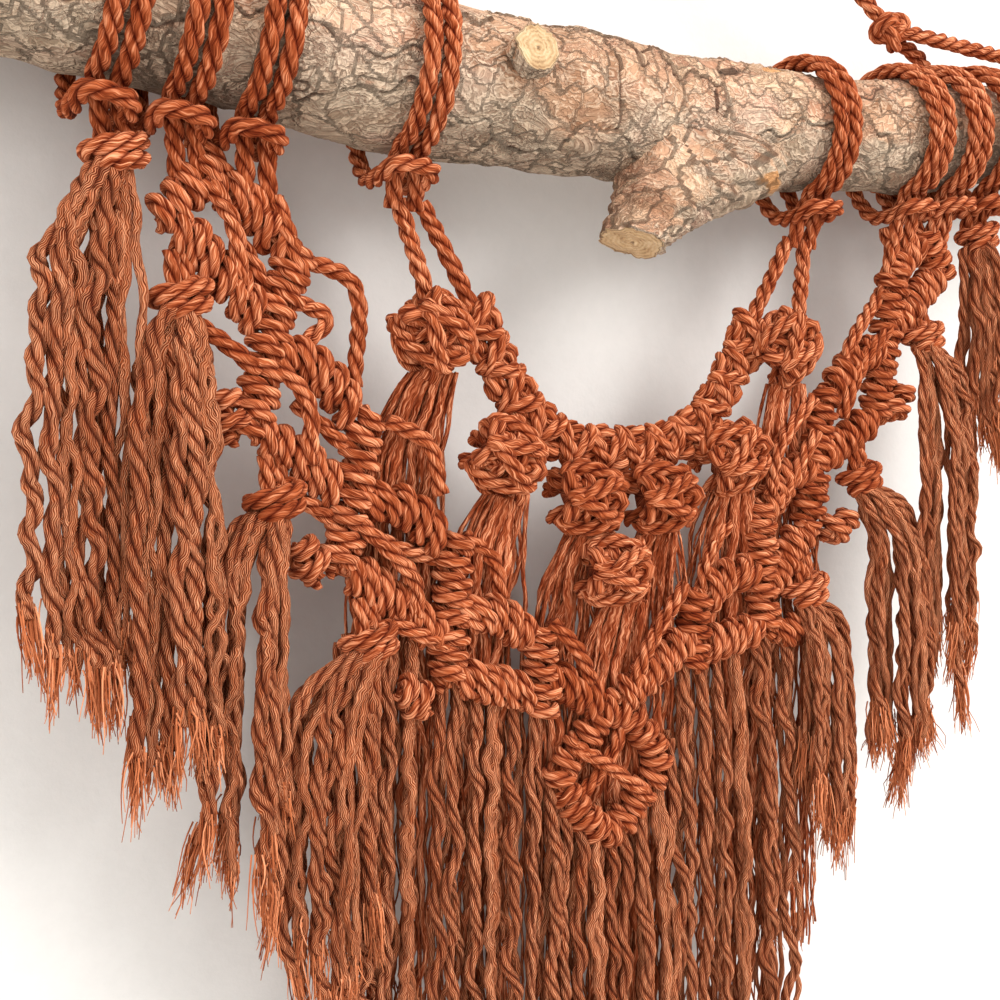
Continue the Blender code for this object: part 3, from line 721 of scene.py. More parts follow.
def tassel(side, number):
    """Strands that fan out from the neck to tips spread over twice the given half width."""
    (top_x, tip_x, tip_z), count, half, trim = TASSELS[side, number]
    node = f"tassel_{side}_{number}"
    pivot = JOINTS[node + "_swing"]["pos_m"]
    neck = np.array((top_x, pivot[1] - 0.001, pivot[2] - 0.004))
    TASSEL_TOPS[side, number] = np.array(pivot, float)
    tip = np.array((tip_x, pivot[1] - 0.004, PANEL_Z + tip_z + trim))
    bunch = Fringe(f"{node}_skirt", node, [node])
    rng = bunch.rng
    for index in range(count):
        share = index / (count - 1) * 2 - 1
        sideways = half * share + rng.normal(0, 0.0012)
        forward = -0.004 * (1 - share**2) + rng.normal(0, 0.002)
        outward = np.array((sideways, forward, 0))
        start = neck + outward * (0.24, 0.5, 0)
        drop = rng.uniform(-0.006, 0.016) + 0.010 * abs(share)
        end = tip + outward * (0.9, 1.0, 0) + (0, 0, drop)
        shape = {"bend": rng.uniform(0.10, 0.2), "wave": rng.uniform(0.016, 0.036),
                 "crimp": rng.uniform(0.0005, 0.0014), "arch": 0.003 * abs(share)}
        if index % 4 == 2:
            bunch.plies(start, end, 3, **shape)
        else:
            radius = rng.uniform(*TASSEL_CORD_R[side])
            bunch.cord(start, end, radius, declare=index in TASSEL_DECLARED, **shape)
    for _ in range(3):
        start = neck + rng.normal(0.0, 0.001, 3) * (1, 0.4, 0)
        end = mix(neck, tip, rng.uniform(0.72, 0.95)) + (rng.uniform(-0.6, 0.6) * half, 0.003, 0)
        bunch.plies(start + (0, 0.002, 0), end, 2, 0.0012)
    return bunch.finish()


for side, number in TASSELS:
    tassel(side, number)

# %% [markdown]
# ## Front fringe
# Under the wings' last rows and under the diamond the cords simply run on down, two deep. The
# middle ones are the longest. Where a cord has lost its twist its three plies hang apart.

# %% Front fringe
FRINGE_TOPS = {
    "left": ((-0.085, -0.262), (-0.077, -0.252), (-0.070, -0.250), (-0.064, -0.251), (-0.056, -0.268),
             (-0.051, -0.270), (-0.045, -0.276), (-0.040, -0.279), (-0.034, -0.281), (-0.027, -0.281)),
    "centre": ((-0.022, -0.303), (-0.017, -0.307), (-0.012, -0.311), (-0.007, -0.315), (-0.002, -0.318),
               (0.003, -0.316), (0.008, -0.311), (0.014, -0.305), (0.019, -0.298)),
    "right": ((0.024, -0.274), (0.030, -0.272), (0.036, -0.271), (0.042, -0.268), (0.049, -0.265),
              (0.054, -0.266), (0.060, -0.262)),
}
FRINGE_TIPS = {"left": (-0.385, -0.424), "centre": (-0.434, -0.438), "right": (-0.425, -0.388)}


def front_fringe(side):
    """A front layer of twisted cords and a layer of plies just behind it."""
    node = "front_fringe_" + side
    bunch = Fringe(node + "_strands", "panel", [node])
    rng = bunch.rng
    tops = FRINGE_TOPS[side]
    for index, (x, z) in enumerate(tops):
        share = index / (len(tops) - 1)
        tip_z = mix(*FRINGE_TIPS[side], share) + rng.uniform(-0.004, 0.008)
        out = 1.05 if side != "centre" else 1.1
        tip = np.array((x * out + rng.normal(0, 0.0015), -0.0035 + rng.normal(0, 0.0012), tip_z))
        top = np.array((x, 0.0015, z + 0.005))
        shape = {"bend": 0.2, "wave": rng.uniform(0.016, 0.036), "crimp": rng.uniform(0.0009, 0.0018)}
        if index % 4 == 3:
            bunch.plies(top, tip, 3, 0.0014, 0.0014, **shape)
        else:
            radius = rng.uniform(0.0018, 0.0023)
            bunch.cord(top, tip, radius, declare=index in FRINGE_DECLARED, **shape)
        behind = tip + (rng.normal(0.0025, 0.001), 0.0045, rng.uniform(-0.004, 0.006))
        if index % 2:
            bunch.cord(top + (0.0025, 0.003, 0.002), behind, 0.0017, **shape)
        else:
            bunch.plies(top + (0.0025, 0.003, 0.002), behind, 2, 0.0011, 0.0016, **shape)
    return bunch.finish()


for side in FRINGE_TOPS:
    front_fringe(side)

# %% [markdown]
# ## Back curtain
# The ends of the cords in each berry knot are combed out into fine yarn. The yarn leaves the
# berry as a narrow skirt, goes back between the garland and the wings and falls as one curtain.

# %% Back curtain
BERRIES = [f"berry_knot_left_{n}" for n in (3, 2, 1)] + ["berry_knot_centre"]
BERRIES += [f"berry_knot_right_{n}" for n in (1, 2, 3)]
BERRY_AT = {name: np.array((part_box(name)[0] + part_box(name)[1]) / 2) for name in BERRIES}
YARNS_PER_BERRY, PLIES_PER_BERRY = 46, 5
CURTAIN_Y = float((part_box("back_fringe")[0].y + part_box("back_fringe")[1].y) / 2)


def back_curtain():
    """Bunches of yarn: narrow under the berry, wide and flat behind the wings."""
    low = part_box("back_fringe")[0].z
    bunch = Fringe("back_curtain", "garland", ["back_fringe"])
    rng = bunch.rng
    for name, middle in BERRY_AT.items():
        side_lift = 0.052 * min(1.0, abs(middle[0]) / 0.062)
        for _ in range(YARNS_PER_BERRY):
            across = rng.uniform(-1.0, 1.0)
            top = middle + (0.0065 * across, 0.003 + rng.normal(0, 0.0015), -0.009)
            tip = np.array((middle[0] * 1.12 + 0.0135 * across + rng.normal(0, 0.002),
                            CURTAIN_Y + rng.normal(0, 0.0014), low + side_lift + rng.uniform(0.0, 0.014)))
            bunch.yarn(top, tip, rng.uniform(0.0004, 0.0008), bend=0.12,
                       crimp=rng.uniform(0.0005, 0.0016), wave=rng.uniform(0.02, 0.05))
        for _ in range(PLIES_PER_BERRY):
            across = rng.uniform(-1.0, 1.0)
            top = middle + (0.005 * across, 0.001, -0.009)
            tip = np.array((middle[0] * 1.1 + 0.010 * across, CURTAIN_Y - 0.002, low + side_lift + 0.01))
            bunch.plies(top, tip, 1, 0.0013, 0.001, bend=0.12, crimp=0.0012, wave=0.028)
    return bunch.finish(YARN)


back_curtain()
print("triangles so far:", sum(TRIANGLES.values()))

# %% [markdown]
# ## Lark's heads on the branch
# Each cord is folded in half and looped over the branch: the two halves come up the front, over
# and down the back, and the fold crosses in front of them just under the branch as a short bar.
# The ends leave behind the bar and run down into the first knots.

# %% Hitches
def hitch_line(x, legs):
    """Legs, wraps and bar as one line; the bar lies one cord further out than the wraps."""
    inner = float(branch_r(x)) + GAP + CORD_R + 0.0004
    outer = inner + 2 * CORD_R + GAP
    turn = np.array([16, 40, 70, 100, 130, 160, 190, 220, 250, 280, 305, 318, 330, 348, 367, 382.0])
    reach = np.where(turn < 325, inner, outer)
    reach = np.where(turn == 330, mix(inner, outer, 0.4), reach)
    offset = mix(0.00265, 0.0058, np.clip((turn - 180) / 138, 0.0, 1.0))
    offset[-1] = 0.0044
    left = around(x - offset, turn, reach)
    right = around(x + offset, turn, reach)
    near, far = (np.asarray(leg, float) for leg in legs)
    middle_left = mix(near, left[0], 0.5) + (0, 0.0005, 0)
    middle_right = mix(far, right[0], 0.5) + (0, 0.0005, 0)
    return np.vstack(([near, middle_left], left, right[::-1], [middle_right, far]))


LEG_ENDS = {  # how far beside the hitch's middle each leg ends, and at what height
    "garland": ((-0.0033, GARLAND_Z - 0.001), (0.0033, GARLAND_Z - 0.001)),
    1: ((-0.0028, PANEL_Z - 0.010), (0.0032, PANEL_Z - 0.013)),
    2: ((-0.0026, PANEL_Z - 0.001), (0.0026, PANEL_Z - 0.001)),
    3: ((-0.0026, PANEL_Z + 0.004), (0.0026, PANEL_Z + 0.003)),
}

for side in SIGN:
    for kind, legs in LEG_ENDS.items():
        node = f"garland_hitch_{side}" if kind == "garland" else f"wing_hitch_{side}_{kind}"
        x = float(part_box(node)[0].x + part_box(node)[1].x) / 2
        ends = [(x + beside, 0.0, z) for beside, z in legs]
        line = smooth(hitch_line(x, ends))
        knotted(node + "_rope", [rope(line, luck(node))], "branch", [node])
print("hitches made")

# %% [markdown]
# ## Nooses and overhand knots
# Outside the wings the hanging cord is tied round the branch. The knot itself is an overhand
# knot, whose line is a trefoil: (sin t + 2 sin 2t, cos t - 2 cos 2t, -1.25 sin 3t).

# %% Hanger knots and nooses
def overhand(middle, size, rng, tilt):
    """The trefoil, opened where its ends go off, turned by `tilt` and shrunk to the given size."""
    t = np.linspace(0.12, 2 * math.pi - 0.12, 90)
    x = np.sin(t) + 2 * np.sin(2 * t)
    z = np.cos(t) - 2 * np.cos(2 * t)
    y = -1.25 * np.sin(3 * t)
    cosine, sine = math.cos(tilt), math.sin(tilt)
    turned = np.stack((x * cosine - z * sine, y, x * sine + z * cosine), -1)
    return rope(evenly(middle + turned * size / 3.0, CORD_STEP), rng)


def noose_line(front_x, back_x, knot):
    """From the knot over the branch, down the front, under, up behind and back to the knot."""
    index = np.arange(13)
    turn = 170.0 - index * 28.0
    x = mix(front_x, back_x, np.clip((index - 8) / 3.0, 0.0, 1.0))
    reach = branch_r(x) + GAP + CORD_R + 2 * CORD_R + GAP
    ring = around(x, turn, reach + 0.0003)
    return np.vstack((knot + (0, -0.002, 0), ring, knot + (0, 0.002, 0)))


NOOSES = {"left": (-0.176, -0.150), "right": (0.155, 0.129)}
for side, (front_x, back_x) in NOOSES.items():
    knot = KNOT_AT[side]
    line = smooth(noose_line(front_x, back_x, knot))
    knotted(f"noose_{side}", [rope(line, luck("noose" + side))], "branch", [f"hanger_noose_{side}"])
    rng = luck("hanger_knot" + side)
    inner_knot = knot + (0.001, 0, -0.0005)
    coils = [overhand(knot, 0.0052, rng, 0.4), overhand(inner_knot, 0.0040, rng, 2.2)]
    knotted(f"overhand_knot_{side}", coils, "branch", [f"hanger_knot_{side}"])
print("hanger made")

# %% [markdown]
# ## Half hitches over leader cords
# A wing's columns and rows are half hitches: a working cord is wound round two leaders, turn
# beside turn. The winding is a flattened helix round the leaders' line, and its ends tuck into
# the middle. A small lean makes each turn slant across the column.

# %% Wound bands
BAND_PITCH = 0.0051  # from one turn to the next
BAND_FLAT = 0.86  # depth of a band as a share of its width


def wound(core, rng, reach=0.0037, lean=0.0, hand=1.0):
    """core(s) + side * reach * cos a + room * reach * flat * sin a, one pitch to a turn.

    s runs in step with a, and lean * reach * cos a is added to it so that each turn slants.
    """
    line = smooth(core, 0.0008)
    along = distance_along(line)
    total = along[-1]
    turns = max(1.0, round(total / BAND_PITCH * 2) / 2)
    a = np.linspace(0.0, 2 * math.pi * turns, int(turns * 22))
    tangent = unit(np.gradient(line, axis=0))
    side = unit(np.cross(tangent, ROOM)) * hand
    jitter = 1.0 + waver(a, rng, 4.1, 0.07)
    tuck = np.clip(np.minimum(a, a[-1] - a) / 1.9, 0.0, 1.0) ** 0.6
    tuck = mix(0.15, 1.0, tuck)
    s = a / a[-1] * total + lean * reach * np.cos(a) + waver(a, rng, 5.0, 0.0004)
    s = np.clip(s, -0.002, total + 0.002)
    middle = read_off(s, along, line)
    across = read_off(s, along, side)
    out = reach * (jitter * tuck)[:, None]
    winding = middle + across * out * np.cos(a)[:, None] + ROOM * out * BAND_FLAT * np.sin(a)[:, None]
    leader = evenly(np.vstack((line[0], line, line[-1])), 0.002)
    return [rope(evenly(winding, CORD_STEP), rng), rope(leader, rng, LEADER_R, fine=False)]


def drawn(points):
    """Points of the pattern, given from the panel's pivot, in the world."""
    return np.array([(x, 0.0, PANEL_Z + z) for x, z in points])


def point_along(line, share):
    """The point at a share of a line's length."""
    along = distance_along(line)
    return read_off(share * along[-1], along, line)


COLUMNS = {
    "left": (((-0.121, 0.000), (-0.129, -0.010)),
             ((-0.0975, -0.019), (-0.103, -0.035), (-0.1085, -0.060)),
             ((-0.0785, -0.060), (-0.081, -0.073), (-0.0855, -0.095)),
             ((-0.053, -0.093), (-0.054, -0.110), (-0.055, -0.127)),
             ((-0.027, -0.119), (-0.0245, -0.137))),
    "right": (((0.121, 0.002), (0.128, -0.006)),
              ((0.1065, -0.010), (0.103, -0.032), (0.0995, -0.054)),
              ((0.0765, -0.051), (0.0715, -0.088)),
              ((0.0515, -0.086), (0.054, -0.120)),
              ((0.027, -0.112), (0.027, -0.128))),
}
ROW_ENDS = (0.45, 0.55, 0.75, 0.9)  # where on the next column each row ends
ROW_LEAN = -0.35
DIAMOND = ((-0.003, -0.141), (0.007, -0.147), (0.014, -0.158), (0.007, -0.168),
           (-0.003, -0.177), (-0.013, -0.169), (-0.020, -0.159), (-0.012, -0.149))


def stretched(start, end, more, bow=0.0):
    """A short line carried on past both of its ends by `more`, its middle raised by `bow`."""
    out = unit(end - start) * more
    return np.array((start - out, mix(start, end, 0.5) + UP * bow, end + out))


for side, sign in SIGN.items():
    columns = [drawn(points) for points in COLUMNS[side]]
    for number, column in enumerate(columns, 1):
        node = f"wing_column_{side}_{number}"
        head = column[0] - unit(column[1] - column[0]) * 0.003
        tail = column[-1] + unit(column[-1] - column[-2]) * 0.003
        core = np.vstack((head, column[1:-1], tail))
        if len(column) == 2:
            core = np.vstack((core[0], mix(core[0], core[-1], 0.5), core[-1]))
        surfaces = wound(core, luck(node), lean=-0.08)
        if number > 1:
            before = columns[number - 2]
            start = point_along(before, 0.5 if number > 2 else 0.0)
            crossing = stretched(start, column[0], -0.0035, 0.0035)
            surfaces += wound(crossing, luck(node + "row"), lean=ROW_LEAN, hand=sign)
        knotted(node + "_knots", surfaces, "panel", [node])
    for number, share in enumerate(ROW_ENDS, 1):
        node = f"wing_row_{side}_{number}"
        outer, inner = columns[number - 1], columns[number]
        target = point_along(inner, share)
        surfaces = wound(stretched(outer[-1], target, -0.0035), luck(node), lean=ROW_LEAN, hand=sign)
        knotted(node + "_knots", surfaces, "panel", [node])
    node = "centre_row_" + side
    start, end = point_along(columns[-1], 0.5), drawn(DIAMOND)[0]
    surfaces = wound(stretched(start, end, -0.003), luck(node), lean=-0.3, hand=sign)
    knotted(node + "_knots", surfaces, "panel", [node])

ring = drawn(DIAMOND)
closed = np.vstack((ring[-1], ring, ring[:2]))
diamond_line = smooth(closed)[8:-8]
knotted("centre_diamond_knots", wound(diamond_line[::6], luck("diamond"), reach=0.0030, lean=0.2),
        "panel", ["centre_diamond"])
print("wings made")

# %% [markdown]
# ## Loose cords between the knots
# Single cords leap from one column to the next and close small cells. They leave the knots
# through the middle, so both of their ends are hidden.

# %% Linking cords
LINKS = {  # millimetres, from the pattern's zero
    "left": (
        ((-94, 48), (-81, 42), (-81, 20)), ((-71, 7), (-62, 2), (-59, -8)),
        ((-47, -24), (-41, -29), (-39, -37)),
        ((-22, -49), (-16, -55), (-12, -62)), ((-98, 38), (-89, 34), (-96, 27)),
        ((-119, 63), (-114, 55), (-112, 40)), ((-110, 50), (-105, 41)), ((-101, 20), (-95, 12), (-95, 0)),
        ((-95, 11), (-83, 1)), ((-79, -20), (-67, -32), (-66, -40)), ((-79, -20), (-69, -25), (-58, -28)),
        ((-120, 29), (-110, 22)), ((-99, -10), (-87, -17)), ((-70, -45), (-59, -50)),
        ((-124, 78), (-118, 72), (-112, 64)), ((-102, 60), (-100, 53), (-97, 46)),
        ((2, -78), (-4, -88), (-13, -98)), ((-14, -84), (-4, -90), (7, -99)),
    ),
    "right": (
        ((101, 51), (88, 35), (82, 20)), ((69, 15), (57, 2), (54, -10)), ((44, -17), (33, -30), (31, -40)),
        ((20, -41), (8, -56), (5, -66)), ((104, 70), (106, 64), (107, 56)), ((100, 38), (90, 28), (84, 14)),
        ((118, 74), (122, 66), (126, 60)), ((70, 4), (64, -4), (58, -14)),
    ),
}
for side, routes in LINKS.items():
    name = f"linking_cords_{side}"
    rng = luck(name)
    surfaces = []
    for index, route in enumerate(routes):
        depth = -0.0036 if index % 2 else -0.0002
        points = [(x / 1000, depth + rng.normal(0, 0.0004), z / 1000 + PATTERN_Z) for x, z in route]
        points = np.array(points)
        if len(points) == 2:
            points = np.array((points[0], mix(points[0], points[1], 0.5), points[1]))
        points[0] += unit(points[0] - points[1]) * 0.003 + (0, 0.001, 0)
        points[-1] += unit(points[-1] - points[-2]) * 0.003 + (0, 0.001, 0)
        surfaces.append(rope(smooth(points), rng, 0.00235))
    knotted(name, surfaces, "panel")

# %% [markdown]
# ## Square knots
# A braid of square knots is made with two working cords over two straight fillers. One cord
# crosses in front from side to side and back, and the other does the same behind. Where they
# turn they hook round each other. Across the braid a cord lies at w cos a, and in front at
# d (1.45 |sin a| - 0.45), so it dips behind at each turn.

# %% Square-knot braids
BERRY_KNOTS = (0.0083, 0.0026, 0.0047)  # half width, depth and pitch
GARLAND_KNOTS = (0.0049, 0.0024, 0.0056)


def square_knots(line, side, out, half, depth, pitch, rng):
    """Working cords at -/+ w cos a, +/- d (1.45|sin a| - 0.45), a = pi s / pitch, and two fillers."""
    along = distance_along(line)
    total = along[-1]
    crossings = max(2, int(round(total / pitch)))
    a = np.linspace(0.0, math.pi * crossings, crossings * 16)
    surfaces = []
    for sense in (-1.0, 1.0):
        s = np.clip(a / a[-1] * total + 0.16 * pitch * np.sin(2 * a) * sense, 0.0, total)
        middle, across, front = (read_off(s, along, vectors) for vectors in (line, side, out))
        wide = half * np.cos(a) * sense * (1.0 + waver(a, rng, 5.0, 0.08))
        high = -sense * depth * (1.45 * np.abs(np.sin(a)) - 0.45)
        working = middle + across * wide[:, None] + front * high[:, None]
        surfaces.append(rope(evenly(working, CORD_STEP), rng))
    for shift in (-0.0019, 0.0019):
        surfaces.append(rope(evenly(line + side * shift, 0.0016), rng, LEADER_R, fine=False))
    return surfaces


BERRY_NUDGE = {"berry_knot_centre": (-0.0055, 0, 0.0005), "berry_knot_right_3": (-0.003, 0, 0.002)}
BERRY_ARC = (165.0, -125.0)  # from the top of its back, through the front, to the bottom
for name, middle in BERRY_AT.items():
    middle = middle + BERRY_NUDGE.get(name, (-0.0015, 0, 0.001))
    rng = luck(name)
    turn = np.radians(np.linspace(*BERRY_ARC, 70))[:, None]
    slope = math.atan(0.9 * middle[0] * abs(middle[0]) / 0.05**2)
    across = np.array((math.cos(slope), 0.0, math.sin(slope)))
    lift = np.cross(ROOM, across)
    lift = lift * np.sign(lift[2])
    out = ROOM * np.cos(turn) + lift * np.sin(turn)
    line = middle + (0, 0.0012, 0) + out * 0.0064
    side_ways = np.broadcast_to(across, line.shape)
    surfaces = square_knots(line, side_ways, out, *BERRY_KNOTS, rng)
    stuffing = evenly(np.array((middle - across * 0.006, middle, middle + across * 0.006)), 0.0012)
    surfaces.append(rope(stuffing, rng, 0.0052, fine=False))
    knotted(name + "_braid", surfaces, "garland", [name])

spots = np.linspace(-0.0475, 0.0475, 60)
braid_z = GARLAND_Z - 0.0635 + 0.0451 * np.abs(spots / 0.05) ** 3
braid_line = smooth(np.stack((spots, 0 * spots - 0.0005, braid_z), 1), 0.001)
braid_tangent = unit(np.gradient(braid_line, axis=0))
braid_side = np.cross(braid_tangent, ROOM)
braid_out = np.broadcast_to(ROOM, braid_line.shape)
surfaces = square_knots(braid_line, braid_side, braid_out, *GARLAND_KNOTS, luck("braid"))
knotted("garland_square_knots", surfaces, "garland", ["garland_braid"])

for side, sign in SIGN.items():
    x = sign * GARLAND_X
    braid_end = np.array((sign * 0.046, 0.0, braid_z[0] - 0.003))
    goals = {"outer": BERRY_AT[f"berry_knot_{side}_3"], "inner": braid_end}
    for kind, goal in goals.items():
        top = np.array((x + sign * (0.0033 if kind == "outer" else -0.0033), 0.0, GARLAND_Z + 0.001))
        node = f"garland_strand_{side}_{kind}"
        line = smooth([top, mix(top, goal, 0.5) + (0, -0.0004, 0), goal])
        knotted(node + "_rope", [rope(line, luck(node))], "garland", [node])
print("garland made")

# %% [markdown]
# ## Tassel necks, stems and side knots
# A turn of cord is pulled tight round the neck of each bunch, and a short stem ties the bunch to
# its row. The stem belongs to the row, so it stays there when the bunch swings. The first bunch
# on each side hangs straight from the branch. Beside each of the others sits a small side knot.

# %% Tassel knots
for (side, number), top in TASSEL_TOPS.items():
    name = f"tassel_{side}_{number}_neck"
    rng = luck(name)
    a = np.linspace(-0.5 * math.pi, 3.0 * math.pi, 80)
    tuck = mix(0.3, 1.0, np.clip(np.minimum(a - a[0], a[-1] - a) / 1.4, 0.0, 1.0))
    ring = np.stack((0.0062 * np.cos(a) * tuck, -0.0040 * np.sin(a) * tuck,
                     0.0014 - 0.0042 * (a / (2 * math.pi)) + 0.0008 * np.cos(a)), -1)
    surfaces = [rope(evenly(top + ring + (0, -0.001, 0), CORD_STEP), rng, 0.0024)]
    stem = [top + (-0.0016, 0.001, 0.010), top + (-0.0014, 0, 0.004), top + (-0.0017, 0, -0.003)]
    twin = [p + (0.0034, 0.0006, 0) for p in stem]
    knotted(name, surfaces, f"tassel_{side}_{number}")
    if number > 1:
        stems = [rope(smooth(stem), rng, 0.0022), rope(smooth(twin), rng, 0.0022)]
        knotted(f"tassel_{side}_{number}_stem", stems, "panel")

SIDE_KNOTS = {  # millimetres, from the pattern's zero
    ("left", 2): ((-117, 13), (-113, 5)),
    ("left", 3): ((-97, -24), (-92, -31)),
    ("left", 4): ((-69, -63), (-62, -67)),
    ("right", 2): ((109, 20), (105, 12)),
    ("right", 3): ((85, -20), (80, -26)),
    ("right", 4): ((64, -53), (58, -57)),
}
for (side, number), spots in SIDE_KNOTS.items():
    name = f"side_knot_{side}_{number}"
    start, end = (np.array((x / 1000, -0.001, z / 1000 + PATTERN_Z)) for x, z in spots)
    knotted(name, wound(stretched(start, end, 0.001), luck(name), lean=0.3), "panel")
print("tassel knots made")

# %% [markdown]
# ## Pine bark
# Pine bark grows in thin plates that lift at their edges and flake off, so the surface steps up
# and down by half a millimetre along ragged outlines. Each plate is the set of places that are
# nearest to one seed on the unrolled bark, after the places have been pushed about by a wobble.
# The same sums give the heights for the mesh and two numbers for the finish: which plate a place
# is on, and how close it is to the plate's edge.

# %% Bark heights
def ripple(places, rng, size, count=7):
    """A smooth random field: plane waves of random direction and phase, added."""
    total = 0.0
    for _ in range(count):
        heading, phase = rng.uniform(0, 2 * math.pi), rng.uniform(0, 2 * math.pi)
        wave = size * rng.uniform(0.6, 1.7)
        total = total + np.sin(2 * math.pi * (places[..., 0] * math.cos(heading)
                                              + places[..., 1] * math.sin(heading)) / wave + phase)
    return total / math.sqrt(count)


def plates(places, rng, size, around_length):
    """(plate value 0-1, distance to the plate's edge) of the nearest seed, wrapped round."""
    wide = 0.22
    count = int(2 * wide * around_length / size**2)
    seeds = np.stack((rng.uniform(-wide, wide, count), rng.uniform(0, around_length, count)), -1)
    value = rng.uniform(0, 1, count)
    seeds = np.concatenate([seeds + (0, k * around_length) for k in (-1, 0, 1)])
    value = np.tile(value, 3)
    first = np.full(places.shape[:-1], 9.0)
    second = first.copy()
    owner = np.zeros(places.shape[:-1], int)
    for index, seed in enumerate(seeds):
        away = np.hypot((places[..., 0] - seed[0]) * 0.8, places[..., 1] - seed[1])
        nearer = away < first
        second = np.where(nearer, first, np.minimum(second, away))
        first = np.where(nearer, away, first)
        owner = np.where(nearer, index, owner)
    return value[owner], second - first


STATIONS, SIDES, CAP_RINGS = 440, 200, 8


def bark_grid():
    """Axis + out * (radius + plate step + curled rim + ridges), with rings that close the ends."""
    rng = luck("bark")
    x = np.linspace(-BRANCH_LENGTH / 2 + 0.0005, BRANCH_LENGTH / 2 - 0.0005, STATIONS)
    degrees = np.arange(SIDES) * 360.0 / SIDES
    xx, turn = np.meshgrid(x, degrees, indexing="ij")
    around_length = 2 * math.pi * BARK_R
    flat = np.stack((xx, turn / 360.0 * around_length), -1)
    wave_turn = np.radians(turn)
    closed_places = np.stack((flat[..., 0] + 0.004 * np.sin(wave_turn), BARK_R * np.sin(wave_turn)), -1)
    push = np.stack((ripple(closed_places, rng, 0.022), ripple(closed_places, rng, 0.017)), -1)
    fine = np.stack((ripple(closed_places, rng, 0.006), ripple(closed_places, rng, 0.0045)), -1)
    places = flat + 0.0035 * push + 0.0009 * fine
    value, edge = plates(places, rng, 0.026, around_length)
    small, small_edge = plates(flat + 0.002 * push + 0.0012 * fine, rng, 0.0085, around_length)
    smoother = np.clip((-0.105 - xx) / 0.03, 0.0, 1.0) + np.clip((xx - 0.07) / 0.04, 0.0, 1.0)
    rough = 1.0 - 0.55 * np.clip(smoother, 0.0, 1.0)
    step = 0.00075 * (value - 0.5) + 0.00022 * rough * (small - 0.5)
    rim = 0.00042 * np.exp(-((edge - 0.0011) / 0.0008) ** 2) - 0.00055 * np.exp(-(edge / 0.0005) ** 2)
    small_rim = 0.00010 * np.exp(-((small_edge - 0.0008) / 0.0006) ** 2)
    small_rim = small_rim - 0.00012 * np.exp(-(small_edge / 0.0004) ** 2)
    swell = 0.0009 * ripple(closed_places, rng, 0.07) + 0.00035 * ripple(closed_places, rng, 0.018)
    height = swell + step + rim * (0.4 + 0.6 * rough) + small_rim * rough
    radius = branch_r(xx) - 0.0003 + height
    grid = around(xx, turn, radius)
    closer = np.linspace(0.94, 0.06, CAP_RINGS)[:, None, None]
    heads = [around(x[k], 0.0, 0.0) + (grid[k] - around(x[k], 0.0, 0.0)) * closer for k in (0, -1)]
    whole = np.concatenate((heads[0][::-1], grid, heads[1]))
    pad = ((CAP_RINGS, CAP_RINGS), (0, 0))
    return whole, np.pad(value, pad), np.pad(edge, pad), np.pad(small, pad), np.pad(small_edge, pad)


# %% [markdown]
# The bark's colour is a pinkish tan that goes grey and darker on faces that point down: partly
# grey bark, partly painted shade. Cracks are dark and reddish, partly the bark's own colour and
# partly painted shade; lifted rims are pale as a painted highlight; and thin wavy lines of old
# growth run over the plates like contours on a map. The lines are a sine of a warped noise. Five
# marks lie at places of their own: a knot hole and a split, whose dark colour is painted shade
# for a hole and a split that the mesh does not have, two patches where the bark has torn off,
# and a scar.

# %% Bark and cut wood finishes
MARKS = (  # middle, reach along X Y Z, colour, strength
    # The knot hole and the split are painted dark as the shade inside them; the mesh has no hole or split
    # there.
    ((0.0312, -0.0110, -0.0963), (0.0050, 0.0060, 0.0017), (0.075, 0.036, 0.020), 0.9),
    ((0.0250, -0.0150, -0.1060), (0.0011, 0.0060, 0.0055), (0.110, 0.042, 0.022), 0.9),
    ((0.0470, -0.0080, -0.1255), (0.0085, 0.0080, 0.0022), (0.780, 0.350, 0.110), 0.75),
    ((0.0500, -0.0080, -0.0925), (0.0045, 0.0050, 0.0014), (0.760, 0.360, 0.130), 0.75),
    ((0.0010, -0.0170, -0.1370), (0.0075, 0.0070, 0.0040), (0.330, 0.150, 0.075), 0.6),
)


